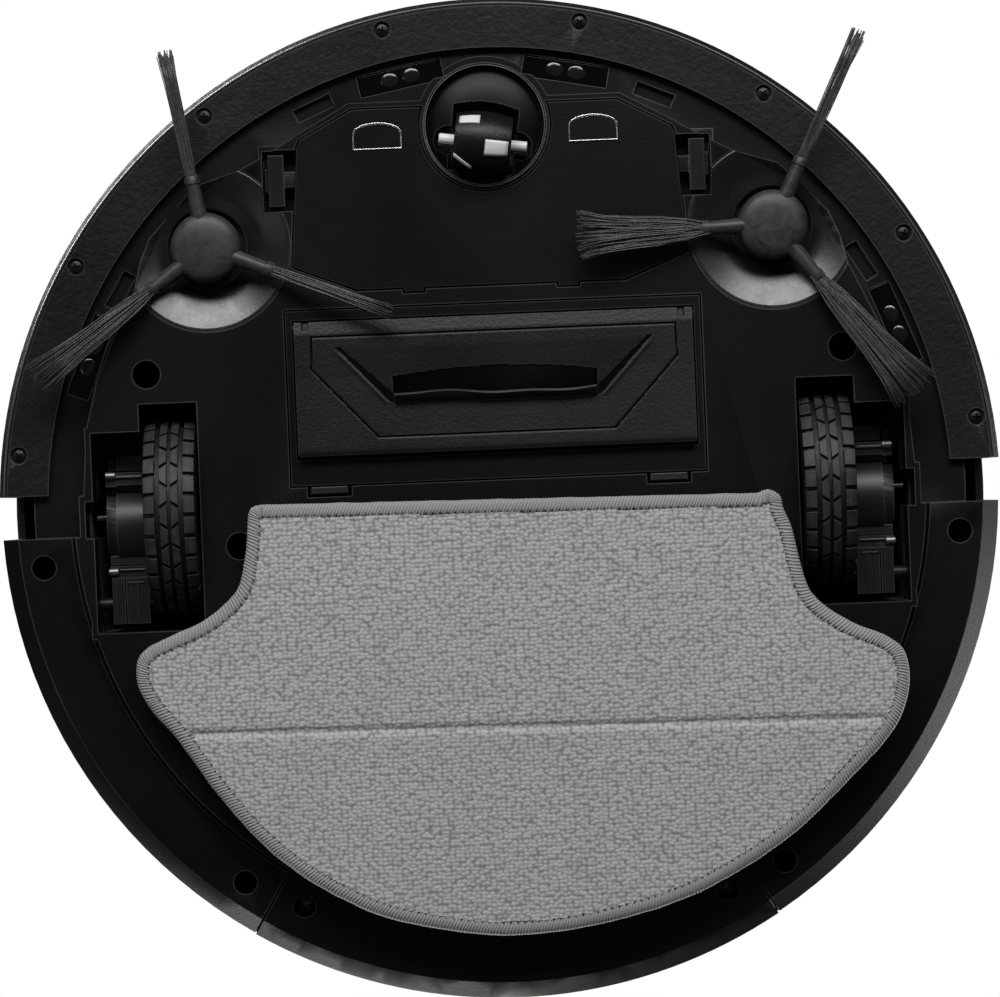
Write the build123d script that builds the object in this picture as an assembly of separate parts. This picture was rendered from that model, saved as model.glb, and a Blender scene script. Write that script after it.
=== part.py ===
from build123d import *
from math import cos, radians, sin
import os

# Robot vacuum, standing on its wheels. +Z is up, -Y is the front and X = 0 is the middle of the body.
# Driving dimensions, in millimetres.
BODY_R = 150.0
BODY_TOP = 76.0
DECK_TOP = 78.0
PLATEAU_Z = 12.0          # underside of the raised middle of the base
LEDGE_Z = 16.0            # underside of the bumper and of the rear rim
FLOOR_T = 3.0             # thickness of the base's floor
FRONT_LEDGE_Z = 18.4      # base above the bumper's flange, which slides under it
BASE_WALL_R = 137.2       # base wall behind the bumper
NOTCH_WALL_R = 139.5      # base wall seen in the notch beside the bumper's end
BUMPER_END_Y = -6.3
REAR_START_Y = 6.5
BUMPER_TOP = 60.0
BUMPER_FLANGE_R = 135.0
BUMPER_SCREW_R = 144.5
BUMPER_SCREW_ANGLES = (11.8, 35.4, 59.0, 82.6)

WHEEL_X = 97.8
WHEEL_Y = 1.0
WHEEL_R = 30.0
WHEEL_W = 15.8
AXLE_R = 2.5
PIVOT_Y = 27.0
PIVOT_Z = 24.0
PIVOT_R = 2.0
MOTOR_X = 113.8
MOTOR_Z = 51.0
MOTOR_R = 7.4

CASTER_Y = -111.4
CASTER_R = 17.2
CASTER_WHEEL_R = 9.25
CASTER_WHEEL_W = 17.0
CASTER_TRAIL = 5.5
CASTER_TURN = 8.0         # degrees that the caster stands turned at rest

BRUSH_X = 84.5
BRUSH_Y = -78.2
BRUSH_HUB_R = 10.4
BRUSH_REACH = 58.0
LEFT_ARMS = (-98.3, 21.5, 144.6)
RIGHT_ARMS = (-65.8, 53.4, 180.0)

CONTACT_X = 32.2
CONTACT_Y = -109.4
COVER_REAR_Y = -63.8

FRAME_X = 61.8
FRAME_FRONT_Y = -58.2
FRAME_REAR_Y = -6.1
HEAD_X = 59.3
HEAD_FRONT_Y = -54.7
HEAD_REAR_Y = -14.7
HEAD_PIVOT_Y = -53.0
HEAD_PIVOT_Z = 13.4
MOUTH_X = 30.4

BIN_FRONT_Y = 62.0
BIN_SHELF_Y = 100.4       # in front of this the bin stands on the base's floor
BIN_OUTLINE = ((66.9, BIN_FRONT_Y), (66.9, 108.2), (78.6, 127.7), (100.0, 163.0))
BIN_GAP = 0.5
BIN_TOP = 58.0

MOP_PEGS = ((40.0, 26.0), (78.0, 50.0))
PLATE_Z = 5.8

# Each base screw's place, the radius of its deep hole and where its boss meets the floor.
BASE_SCREWS = ((137.0, 15.2, 3.6, 17.0), (80.7, 111.6, 3.5, 17.0), (103.8, -41.2, 4.2, 12.0),
               (78.0, 11.0, 4.0, 12.0))
BIN_SCREW = (63.3, 119.5, 3.2)
RUNNING = 0.05            # radial clearance of a shaft in its hole

LOW = (Align.MIN, Align.MIN, Align.MIN)
STANDING = (Align.CENTER, Align.CENTER, Align.MIN)


def block(x0, x1, y0, y1, z0, z1):
    """A box given by its lowest and highest corners."""
    return Pos(x0, y0, z0) * Box(x1 - x0, y1 - y0, z1 - z0, align=LOW)


def post(x, y, r, z0, z1):
    """An upright cylinder."""
    return Pos(x, y, z0) * Cylinder(r, z1 - z0, align=STANDING)


def bar(x0, x1, y, z, r):
    """A cylinder lying along X."""
    return Pos(x0, y, z) * Rot(0, 90, 0) * Cylinder(r, x1 - x0, align=STANDING)


def prism(points, z0, z1):
    """An upright prism on a closed outline."""
    return Pos(0, 0, z0) * extrude(make_face(Polyline(*points, close=True)), z1 - z0)


def both_sides(points):
    """An outline of the right half, front to rear, closed by its mirror image."""
    return [*points, *((-x, y) for x, y in reversed(points))]


def turned(*profile):
    """A solid of revolution about Z from (radius, height) corners."""
    return revolve(make_face(Polyline(*((r, 0, z) for r, z in profile), close=True)), Axis.Z)


def along_x(profile, x0, x1):
    """A prism along X on a closed (y, z) outline."""
    face = make_face(Polyline(*((x0, y, z) for y, z in profile), close=True))
    return extrude(face, x1 - x0, dir=(1, 0, 0))


def flip(shape):
    """The mirror image on the other side of the middle plane."""
    return mirror(shape, Plane.YZ)


def at_front_angle(angle, r):
    """The point on a circle about the body's centre, at an angle from straight ahead."""
    return r * sin(radians(angle)), -r * cos(radians(angle))


def front_block(angle, r0, r1, width, z0, z1):
    """A box lying across a radius of the body, at an angle from straight ahead."""
    return Rot(0, 0, angle) * block(-width / 2, width / 2, -r1, -r0, z0, z1)


def plateau_outline():
    """The raised middle of the base, right side, front to rear."""
    return ((39.5, -118.2), (52.6, -112.6), (66.8, -104.5), (73.5, -101.0), (87.0, -97.0), (95.0, -89.0),
            (101.5, -82.0), (104.5, -75.0), (106.5, -66.0), (111.5, -55.5), (118.5, -40.5), (122.5, -25.0),
            (124.4, 0.0), (124.4, 25.6))


def plateau(z0, z1):
    """The raised middle, with its round rear end and its lobe about the caster."""
    front = prism(both_sides(plateau_outline()), z0, z1)
    rear = post(0, 0, 127.0, z0, z1) & block(-130, 130, 20, 130, z0, z1)
    return front + rear + post(0, CASTER_Y, 20.6, z0, z1)


def cover_outline(grow=0.0):
    """The battery cover, right side, front to rear, optionally grown on all sides."""
    return ((39.5 + grow / 2, -117.5 - grow), (55.5 + grow, -109.0 - grow / 2), (56.4 + grow, -107.0),
            (59.0 + grow, -71.3 + grow / 2), (40.0 + grow / 2, COVER_REAR_Y + grow))


def bin_prism(z0, z1, grow=0.0):
    """The bin's plan outline, optionally grown towards the body."""
    points = [(x + grow * 1.1, y) for x, y in BIN_OUTLINE]
    points[0] = (BIN_OUTLINE[0][0] + grow, BIN_OUTLINE[0][1] - grow)
    return prism(both_sides(points), z0, z1)


def wheel_well(z0, z1, wall=0.0):
    """The right drive wheel's well: a slot for the tyre, a pocket for the gearbox and a recess for the axle's pin."""
    slot = block(89.3 - wall, 106.6, -32.4 - wall, 35.4 + wall, z0, z1)
    pocket = block(106.5, 121.2 + wall, -24.3 - wall, 35.4 + wall, z0, z1)
    pin_recess = block(121.0, 123.6 + wall, -4.0 - wall, 7.0 + wall, z0, z1)
    return slot + pocket + pin_recess


def chassis_base():
    """The underside tray, with every well, socket and boss moulded into it."""
    top = 20.9
    tray = plateau(PLATEAU_Z, top) - offset_inside(PLATEAU_Z + FLOOR_T, top)
    ledge = post(0, 0, BASE_WALL_R, FRONT_LEDGE_Z, top) - post(0, 0, 118, FRONT_LEDGE_Z, top)
    ledge &= block(-150, 150, -150, REAR_START_Y, FRONT_LEDGE_Z, top)
    ledge -= prism(both_sides(plateau_outline()), FRONT_LEDGE_Z, top)
    front_wall = post(0, 0, BASE_WALL_R, top, 56) - post(0, 0, BASE_WALL_R - 2.5, top, 56)
    front_wall &= block(-150, 150, -150, 12, top, 56)
    notch_wall = post(0, 0, NOTCH_WALL_R, FRONT_LEDGE_Z, 56) - post(0, 0, BASE_WALL_R - 2.5, FRONT_LEDGE_Z, 56)
    notch_wall &= block(-150, 150, -30, 10, FRONT_LEDGE_Z, 56)
    rear = turned((124.0, PLATEAU_Z), (127.0, PLATEAU_Z), (128.5, LEDGE_Z), (144.5, LEDGE_Z), (149.6, 21.5),
                  (149.6, 24.0), (147.1, 24.0), (147.1, 22.5), (143.5, 19.0), (124.0, 19.0))
    rear &= block(-150, 150, REAR_START_Y, 150, 10, 24)
    base = tray + ledge + front_wall + notch_wall + rear
    base += wheel_well(PLATEAU_Z, 68, 1.8) + flip(wheel_well(PLATEAU_Z, 68, 1.8))
    base += prism(both_sides(cover_outline(2.0)), PLATEAU_Z, 17.0)
    base += block(-64.3, 64.3, -60.7, -1.5, PLATEAU_Z, 23)
    base += block(-56, 56, -93, -64, 14.5, 38)
    base += post(0, CASTER_Y, 19.4, PLATEAU_Z, 30) + post(0, CASTER_Y, 5.5, 29, 42)
    for side in (-1, 1):
        base += post(side * BRUSH_X, BRUSH_Y, 26.0, 13, 19) & plateau(13, 19)
        base += block(side * 62 - 6, side * 62 + 6, -108, -86, 14.5, 19)
    base += block(-67.5, 67.5, 57, 61, 14, 22)
    base -= cuts_for_covers() + cuts_for_running_gear()
    base -= post(0, 0, 170, 10, 70) - post(0, 0, 149.6, 10, 70)
    for x, y, r, floor_z in BASE_SCREWS:
        for side in (-1, 1):
            base += post(side * x, y, r + 1.8, floor_z, 56)
            base -= post(side * x, y, r, 10, 50) + post(side * x, y, 1.7, 49, 57)
    for x, y in MOP_PEGS:
        for side in (-1, 1):
            base += post(side * x, y, 6.0, PLATEAU_Z, 22)
            base -= post(side * x, y, 4.0 + RUNNING, PLATEAU_Z - 1, 20)
    return base


def offset_inside(z0, z1):
    """The tray's hollow: the plateau drawn in by its wall."""
    inner = [(x * 0.975 if x > 100 else x - 2.5, y * 0.975) for x, y in plateau_outline()]
    rear = post(0, 0, 124.0, z0, z1) & block(-130, 130, 24, 130, z0, z1)
    return prism(both_sides(inner), z0, z1) + rear


def cuts_for_covers():
    """Openings under the covers, the suction frame and the bin."""
    cover = prism(both_sides(cover_outline(0.4)), 11, 14.6)
    cover -= post(0, CASTER_Y, 19.4, 11, 15)
    cuts = cover + block(-54.2, 54.2, -91.4, -65.8, 14.4, 36.4)
    cuts += block(-FRAME_X - 0.5, FRAME_X + 0.5, FRAME_FRONT_Y - 0.5, FRAME_REAR_Y + 0.5, 11, 21)
    cuts += block(-30.4, 30.4, -43, -28, 20, 24)
    for side in (-1, 1):
        low, high = sorted((side * 44.0, side * 57.2))
        cuts += block(low, high, -7, -2.6, 11, 16)
        low, high = sorted((side * 56.4, side * 66.8))
        cuts += block(low, high, -106.3, -88.1, 11, 17.4)
        low, high = sorted((side * 19.5, side * 26.5))
        cuts += block(low, high, -64.5, -62.2, 11, 15.6)
    cuts += bin_prism(10, 30, BIN_GAP) & block(-150, 150, BIN_SHELF_Y - BIN_GAP, 151, 10, 30)
    cuts += bin_prism(LEDGE_Z - 1.4, 30, BIN_GAP) & block(-150, 150, 60, 151, 14.6, 30)
    return cuts


def cuts_for_running_gear():
    """Wheel wells, the caster's cup, brush bays, pivot holes and window holes."""
    cuts = wheel_well(11, 66) + flip(wheel_well(11, 66))
    cuts += bar(106.2, 124.4, PIVOT_Y, PIVOT_Z, PIVOT_R) + flip(bar(106.2, 124.4, PIVOT_Y, PIVOT_Z, PIVOT_R))
    cuts += post(0, CASTER_Y, 18.5, 11, 28) + post(0, CASTER_Y, 3 + RUNNING, 27, 41)
    for side in (-1, 1):
        cuts += Pos(side * BRUSH_X, BRUSH_Y, 0) * (dish_cone(25.2, 12.1) + post(0, 0, 25.2, 11, 12.2))
        cuts += post(side * BRUSH_X, BRUSH_Y, 12.0, 10, 19.0)
        cuts += block(side * BRUSH_X - 27, side * BRUSH_X + 27, BRUSH_Y - 27, BRUSH_Y + 27, 10, 16.8) & (
            post(side * BRUSH_X, BRUSH_Y, 25.1, 10, 16.8) - plateau(10, 16.8))
        for angle in (11.0, 68.5):
            cuts += front_block(side * angle, 126.3, 132.7, 25.5, 10, 22)
        cuts += front_block(side * 23.2, 127.5, 131.5, 12, 10, 20)
        cuts += front_block(side * 59.0, 127.5, 131.5, 12, 10, 20)
    return cuts


def dish_cone(r, z0):
    """The space that a brush dish takes up: a shallow cone, wide side down."""
    return Pos(0, 0, z0) * Cone(r, 12.0, 5.0, align=STANDING)


def brush_dish(side):
    """The shiny conical dish above a side brush, cut off where the base drops to its ledge."""
    dish = dish_cone(25.0, 12.0) - dish_cone(23.9, 11.0) - post(0, 0, 12.1, 10, 20)
    low, high = sorted((side * 56.0, side * 67.2))
    dish = Pos(side * BRUSH_X, BRUSH_Y, 0) * dish & plateau(11, 20)
    return dish - block(low, high, -106.7, -87.7, 10, 20)


def top_shell():
    """The upper casing: deck, shoulder and rear skirt in one moulding."""
    shell = turned((0, 73.5), (0, BODY_TOP), (140, BODY_TOP), (146, 74), (149, 71), (BODY_R, 67.5),
                   (BODY_R, 60.6), (147.6, 60.6), (147.6, 67), (146.8, 70), (144, 72.4), (139, 73.5))
    skirt = post(0, 0, BODY_R, 24.2, 61) - post(0, 0, 147.4, 24.2, 61)
    skirt &= block(-151, 151, REAR_START_Y, 151, 24.2, 61)
    shell += skirt - bin_prism(20, 60.6, BIN_GAP)
    shell -= switch_space()
    shell -= post(0, -62, 11.0, 70, 80) + block(-17, 17, -96.2, -85.8, 70, 80)
    for x, y, *_ in BASE_SCREWS:
        for side in (-1, 1):
            shell += post(side * x, y, 4.0, 56.2, 74) - post(side * x, y, 1.7, 50, 70)
    return shell


def switch_place():
    """Where the rocker switch stands in the rear skirt."""
    return Rot(0, 0, 171.0)


def switch_space():
    """The window cut in the skirt for the rocker switch."""
    return switch_place() * block(140, 152, -7.4, 7.4, 35.6, 44.4)


def power_switch():
    """A rocker on an upright pin."""
    rocker = block(146.9, 149.6, -7.0, 7.0, 36, 44)
    rocker -= Pos(153.2, 0, 0) * post(0, 0, 4.2, 35, 45)
    return switch_place() * rocker


def top_deck_panel():
    """The glossy disc on top, with holes for the button and the status window."""
    panel = Pos(0, 0, BODY_TOP) * Cylinder(128, DECK_TOP - BODY_TOP, align=STANDING)
    panel = chamfer(panel.edges().sort_by(Axis.Z)[-1], 0.8)
    return panel - post(0, -62, 11.0, 70, 80) - block(-17, 17, -96.2, -85.8, 70, 80)


def start_button():
    """The round push button on the deck, with its stem through the shell."""
    return post(0, -62, 10.6, 74.2, 77.8) + post(0, -62, 4, 71.5, 74.2)


def display_window():
    """The clear strip over the status lights."""
    return block(-16.9, 16.9, -96.1, -85.9, 74.2, 77.9)


def bumper():
    """The sprung front bumper: a tall wall with a flange turned in under the base."""
    ring = turned((BUMPER_FLANGE_R, LEDGE_Z), (147.4, LEDGE_Z), (BODY_R, 19.4), (BODY_R, BUMPER_TOP),
                  (147.5, BUMPER_TOP), (147.5, 20.2), (146.0, 18.0), (BUMPER_FLANGE_R, 18.0))
    ring &= block(-151, 151, -151, BUMPER_END_Y, 15, 61)
    for angle in BUMPER_SCREW_ANGLES:
        for side in (-1, 1):
            x, y = at_front_angle(side * angle, BUMPER_SCREW_R)
            ring += post(x, y, 2.4, 17.9, 26)
            ring -= post(x, y, 2.6, 15, 17.3) + post(x, y, 1.1, 17, 24)
    return ring - window_band(147.9, 151, 35.9, 52.1)


def window_band(r0, r1, z0, z1):
    """A curved band across the front of the bumper."""
    band = post(0, 0, r1, z0, z1) - post(0, 0, r0, z0, z1)
    reach = at_front_angle(28, 200)
    return band & prism(((0, 0), reach, (-reach[0], reach[1])), z0, z1)


def bumper_screws():
    """Eight countersunk screws that hold the flange."""
    screws = []
    for angle in BUMPER_SCREW_ANGLES:
        for side in (-1, 1):
            x, y = at_front_angle(side * angle, BUMPER_SCREW_R)
            screws.append(post(x, y, 1.9, 16.3, 17.3) + post(x, y, 1.1, 17.2, 23.8))
    return Compound(screws)


def bumper_switches():
    """Two small switches behind the bumper's corners."""
    switches = [front_block(angle, BASE_WALL_R, 141.2, 9, 32, 40) for angle in (-46, 46)]
    switches = [switch - post(0, 0, BASE_WALL_R, 30, 42) for switch in switches]
    return Compound(switches)


def chassis_screws():
    """Screws at the bottom of the deep holes, which hold the base to the top shell."""
    screws = []
    for x, y, *_ in BASE_SCREWS:
        for side in (-1, 1):
            screws.append(post(side * x, y, 2.8, 47.8, 50) + post(side * x, y, 1.5, 49.9, 66))
    return Compound(screws)


def gearbox():
    """The right gearbox case: a drum about the gears, a saddle for the motor and a box at the pivot."""
    case = bar(106.8, 115.0, 4.0, 30.0, 12.4) + bar(115.0, 118.0, 4.0, 30.0, 11.6)
    case += block(107.6, 116.6, -12.0, 33.0, 24.0, 38.0)
    case += block(106.9, 115.0, -12.4, -8.6, 20.6, 30.0) + block(115.0, 118.0, -12.4, -8.2, 20.6, 30.0)
    case += block(106.9, 117.6, 15.6, 19.4, 20.6, 30.0)
    case += block(106.1, 113.0, 19.2, 33.0, 19.5, 39.6) + block(113.4, 117.2, 19.2, 33.0, 20.0, 39.6)
    case += block(109.0, 117.0, 0.0, 15.0, 36.0, 45.0)
    case -= motor_can(MOTOR_R, -7, 20)
    case -= bar(100, 125, WHEEL_Y, 30, AXLE_R + RUNNING)
    case -= bar(100, 125, PIVOT_Y, PIVOT_Z, PIVOT_R + RUNNING)
    case -= bar(114.9, 119, -11.4, 20.6, 1.3) + bar(114.9, 119, 17.4, 20.6, 1.3)
    return case


def motor_can(r, y0, y1):
    """A cylinder along Y on the drive motor's axis."""
    return Pos(MOTOR_X, y0, MOTOR_Z) * Rot(-90, 0, 0) * Cylinder(r, y1 - y0, align=STANDING)


def drive_motor():
    """The drive motor, lying along Y on its saddle."""
    return motor_can(MOTOR_R, -6, 18) + motor_can(3.0, 18, 21)


def gearbox_screws():
    """Two screws that close the gearbox case."""
    return Compound([bar(114.9, 118.3, y, 20.6, 1.3) for y in (-11.4, 17.4)])


def pivot_pins():
    """The pins on which the two drive modules swing."""
    pin = bar(106.2, 124.4, PIVOT_Y, PIVOT_Z, PIVOT_R)
    return Compound([pin, flip(pin)])


def suspension_spring():
    """The spring that presses the right drive module down."""
    coil = Helix(pitch=3.0, height=26.0, radius=2.8)
    wire = Plane(origin=coil @ 0, z_dir=coil % 0) * Circle(0.45)
    return Pos(112.3, -10.2, 39.0) * sweep(wire, path=coil, is_frenet=True)


def tyre():
    """The right tyre, with rounded shoulders."""
    half = WHEEL_W / 2
    ring = turned((21.0, -half), (27.6, -half), (29.4, -half + 1.4), (WHEEL_R, -half + 3.6),
                  (WHEEL_R, half - 3.6), (29.4, half - 1.4), (27.6, half), (21.0, half))
    return Pos(WHEEL_X, WHEEL_Y, WHEEL_R) * Rot(0, 90, 0) * ring


def wheel_hub():
    """The right hub: a dished disc pressed on the axle."""
    half = WHEEL_W / 2 - 0.6
    hub = turned((AXLE_R, -half + 3), (19.0, -half + 3), (19.0, -half), (21.0, -half), (21.0, half),
                 (19.0, half), (19.0, half - 3), (6.0, half - 3), (6.0, half), (AXLE_R, half))
    return Pos(WHEEL_X, WHEEL_Y, WHEEL_R) * Rot(0, 90, 0) * hub


def wheel_axle():
    """The right axle, with the thin pin on its outer end."""
    return bar(91.5, 118.5, WHEEL_Y, 30, AXLE_R) + bar(118.5, 122.1, WHEEL_Y, 30, 0.9)


def caster_place():
    """The caster's own frame: its swivel axis, turned as it stands at rest."""
    return Pos(0, CASTER_Y, 0) * Rot(0, 0, CASTER_TURN)


def caster_bezel():
    """The trim ring round the caster."""
    return post(0, CASTER_Y, 18.5, 10.8, 15) - post(0, CASTER_Y, 17.5, 10, 16)


def caster_housing():
    """The swivelling dome, its stem and the lugs that hold the axle."""
    dome = turned((0, 9.6), (9, 9.9), (14, 10.9), (CASTER_R, 13.4), (CASTER_R, 24), (0, 24))
    dome += block(-14.2, 14.2, CASTER_TRAIL - 3.6, CASTER_TRAIL + 3.6, 7.8, 14)
    dome &= post(0, 0, CASTER_R, 5, 30)
    dome -= bar(-9.4, 9.4, CASTER_TRAIL, CASTER_WHEEL_R, 10.2)
    dome -= bar(-13.4, 13.4, CASTER_TRAIL, CASTER_WHEEL_R, 1.5 + RUNNING)
    dome -= block(-13.4, 13.4, CASTER_TRAIL - 1.55, CASTER_TRAIL + 1.55, 5, CASTER_WHEEL_R)
    return caster_place() * (dome + post(0, 0, 3.0, 23.5, 40.5))


def caster_core():
    """The caster wheel's hard core with its axle ends."""
    return caster_place() * (bar(-8.0, 8.0, CASTER_TRAIL, CASTER_WHEEL_R, 6.6)
                             + bar(-13.2, 13.2, CASTER_TRAIL, CASTER_WHEEL_R, 1.5))


def caster_tyre():
    """The caster wheel's barrel-shaped rubber tyre."""
    half = CASTER_WHEEL_W / 2
    crown = ThreePointArc((7.9, 0, -half), (CASTER_WHEEL_R, 0, 0), (7.9, 0, half))
    rim = Polyline((7.9, 0, half), (6.6, 0, half), (6.6, 0, -half), (7.9, 0, -half))
    barrel = revolve(make_face(crown + rim), Axis.Z)
    return caster_place() * Pos(0, CASTER_TRAIL, CASTER_WHEEL_R) * Rot(0, 90, 0) * barrel


def brush_motor(side):
    """A side brush's gear motor, whose shaft stands down through the dish."""
    return Pos(side * BRUSH_X, BRUSH_Y, 0) * (
        post(0, 0, 12, 21.2, 46) + post(0, 0, 6, 19.2, 21.2) + post(0, 0, 2.0, 9.5, 19.3))


def brush_hub(side, arms):
    """The soft hub: a low dome with three sleeves that grip the bristles."""
    hub = turned((0, 6.6), (5, 6.9), (8.6, 8.2), (BRUSH_HUB_R, 10.2), (BRUSH_HUB_R, 16), (0, 16))
    for angle in arms:
        sleeve = Pos(8, 0, 9.9) * Rot(0, 96, 0) * Cylinder(2.4, 13.5, align=STANDING)
        hub += Rot(0, 0, angle) * sleeve
    hub -= post(0, 0, 2.0 + RUNNING, 9.2, 20)
    return Pos(side * BRUSH_X, BRUSH_Y, 0) * hub


def brush_bristles(side, arms):
    """Three fans of bristles, drooping towards the floor."""
    fans = []
    for angle in arms:
        side_view = make_face(Polyline((21.8, 0, 9.6), (BRUSH_REACH, 0, 3.4), (BRUSH_REACH, 0, 2.0),
                                       (21.8, 0, 6.6), close=True))
        fan = extrude(side_view, 12, both=True)
        plan = prism(((21.8, -1.8), (BRUSH_REACH, -5.5), (BRUSH_REACH, 5.5), (21.8, 1.8)), 0, 15)
        fans.append(Pos(side * BRUSH_X, BRUSH_Y, 0) * Rot(0, 0, angle) * (fan & plan))
    return Compound(fans)


def charging_contacts():
    """Two sprung contact plates that reach through the battery cover."""
    outline = ((-7.35, 4.05), (-7.35, -1.2), (-4.6, -3.4), (0, -4.05), (4.6, -3.4), (7.35, -1.2), (7.35, 4.05))
    plate = prism(outline, 11.6, 14.6)
    return Compound([Pos(side * CONTACT_X, CONTACT_Y, 0) * plate for side in (-1, 1)])


def battery_cover():
    """The cover over the battery, notched round the caster."""
    cover = prism(both_sides(cover_outline()), PLATEAU_Z, PLATEAU_Z + 2.2)
    for side in (-1, 1):
        cover += block(side * 23 - 3, side * 23 + 3, COVER_REAR_Y - 1, COVER_REAR_Y + 1.2, PLATEAU_Z, 14.2)
        low, high = sorted((side * CONTACT_X - 7.8, side * CONTACT_X + 7.8))
        cover -= block(low, high, CONTACT_Y - 4.5, CONTACT_Y + 4.5, 11, 15)
        low, high = sorted((side * 53.0, side * 62.0))
        cover -= block(low, high, -100.4, -94.6, 12.7, 15)
    return cover - post(0, CASTER_Y, 19.8, 11, 15)


def battery_latch(side):
    """A latch beside the cover: a finger tongue with a stem in the cover's slot."""
    latch = block(60.4, 65.2, -105.0, -89.4, 12.3, 15.4) + block(55.2, 60.6, -100, -95, 13.0, 14.2)
    latch += block(65.0, 66.3, -101, -94, 14.0, 15.4)
    return latch if side > 0 else flip(latch)


def suction_frame():
    """The snap-in frame round the suction head."""
    frame = block(-FRAME_X, FRAME_X, FRAME_FRONT_Y, FRAME_REAR_Y, PLATEAU_Z, 15.6)
    frame -= block(-59.9, 59.9, -55.3, -13.7, 11, 16)
    for side in (-1, 1):
        low, high = sorted((side * 45.0, side * 56.2))
        frame += block(low, high, FRAME_REAR_Y - 1, -3.4, 12.6, 14.2)
    return frame - bar(-61.0, 61.0, HEAD_PIVOT_Y, HEAD_PIVOT_Z, 1.0 + RUNNING)


def mouth_outline(y_lip):
    """The suction mouth: an arched front edge and a straight rear edge."""
    front = ThreePointArc((-MOUTH_X, -37.5), (0, -39.7), (MOUTH_X, -37.5))
    rear = Polyline((MOUTH_X, -37.5), (MOUTH_X, y_lip), (-MOUTH_X, y_lip), (-MOUTH_X, -37.5))
    return make_face(front + rear)


def suction_head():
    """The floating head: a sled plate with the suction mouth and its collar."""
    profile = ((HEAD_FRONT_Y, 11.4), (-51.0, 9.8), (-38.0, 9.6), (-17.0, 8.6), (HEAD_REAR_Y, 8.9),
               (HEAD_REAR_Y, 12.8), (HEAD_FRONT_Y, 14.4))
    head = along_x(profile, -HEAD_X, HEAD_X)
    head += block(-33, 33, -42.5, -28.6, 12.4, 17.4)
    head -= Pos(0, 0, 5) * extrude(mouth_outline(-31.4), 15)
    for side in (-1, 1):
        head += bar(side * 60.1 - 0.8, side * 60.1 + 0.8, HEAD_PIVOT_Y, HEAD_PIVOT_Z, 1.0)
        head -= block(side * 56 - 1, side * 56 + 1, -55, -52.2, 5, 12)
    return head


def suction_lip():
    """The rubber lip that hangs from the mouth's rear edge."""
    return block(-30.0, 30.0, -32.9, -31.45, 5.6, 15)


def air_duct():
    """The duct from above the mouth to the bin's inlet."""
    duct = block(-33, 33, -44, 40, 23.2, 38) + block(-33, 33, 26, 61.2, 30, 52)
    duct -= block(-31, 31, -42, 38, 25, 36) + block(-31, 31, 28, 63, 32, 50)
    return duct - block(-30, 30, -41.5, -29, 20, 30)


def suction_fan():
    """The fan that draws through the bin's filter."""
    return Pos(50, 40, 0) * (post(0, 0, 16, 24, 44) + post(0, 0, 9, 44, 52)) + block(42, 58, 50, 61.2, 30, 42)


def main_board():
    """The circuit board across the middle."""
    return block(-60, 60, -56, 8, 54, 55.6)


def battery_pack():
    """The wrapped battery block."""
    return fillet(block(-52, 52, -90.4, -66.8, 15, 35.6).edges().filter_by(Axis.X), 3)


def cliff_windows():
    """Four clear windows over the cliff sensors."""
    return Compound([front_block(angle, 126.5, 132.5, 25.1, FRONT_LEDGE_Z, 21) for angle in (-68.5, -11, 11, 68.5)])


def bin_body(inset, z0, z1):
    """The bin's outer shape, optionally drawn in by a wall."""
    revolved = turned((0, PLATEAU_Z), (127.0, PLATEAU_Z), (128.5, LEDGE_Z), (144.5, LEDGE_Z), (BODY_R, 21.5),
                      (BODY_R, 62), (0, 62))
    body = bin_prism(z0, z1, -inset) & revolved
    return body if inset == 0 else body & post(0, 0, BODY_R - inset, z0, z1)


def dust_bin():
    """The dust bin: an open box whose rear wall is part of the body's outline."""
    shell = bin_body(0, PLATEAU_Z, BIN_TOP) - block(-80, 80, 50, BIN_SHELF_Y, 10, 14.8)
    shell -= bin_body(2.4, 22.5, 70)
    shell += block(-18, 18, 138.5, 148, 32, 50) & bin_body(0, 32, 50)
    x, y, r = BIN_SCREW
    for side in (-1, 1):
        shell += post(side * x, y, r + 1.8, 18, 34)
        shell -= post(side * x, y, r, 12, 26)
    shell -= block(-24, 24, 58, 66, 35, 47) + block(43, 57, 58, 66, 31, 41)
    return shell - block(-16, 16, 142, 152, 34, 48)


def bin_screws():
    """Two screws at the bottom of the bin's deep holes."""
    return Compound([post(side * BIN_SCREW[0], BIN_SCREW[1], 2.8, 23.6, 26) for side in (-1, 1)])


def bin_lid():
    """The lid that closes the top of the bin."""
    return bin_body(0, BIN_TOP, 60.2)


def bin_filter():
    """The filter block inside the bin's outlet."""
    return block(40, 60, 64.6, 76, 26, 56)


def bin_release_button():
    """The push button that frees the bin."""
    return block(-15.6, 15.6, 144.6, 152, 34.4, 47.6) & post(0, 0, BODY_R - 0.2, 30, 50)


def mop_outline():
    """The mop plate's outline, counter-clockwise from its front left corner."""
    return ((-70, 5), (76, 8), (80, 26), (88, 40), (108, 50), (112, 60), (107, 72), (94, 86), (78, 98), (60, 108),
            (40, 116), (16, 121), (-18, 121), (-40, 115), (-60, 104), (-80, 84), (-96, 62), (-103, 48),
            (-84, 38), (-72, 24))


def cloth_outline():
    """The mop cloth's outline, which overhangs its plate by a hem."""
    return ((-74.5, -0.5), (82, 2.5), (86, 13), (89, 27), (93, 34), (102, 40.5), (113, 45.5), (118, 51), (118.5, 61),
            (113.5, 73), (100, 87), (84, 101.5), (66, 113), (48, 121), (24, 127), (0, 129.2), (-20, 127),
            (-41, 121.5), (-61, 110.5), (-75.5, 98), (-88, 82.5), (-97, 69), (-107, 56), (-109.5, 47),
            (-106, 40), (-89, 32.5), (-79, 24), (-76, 14))


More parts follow.
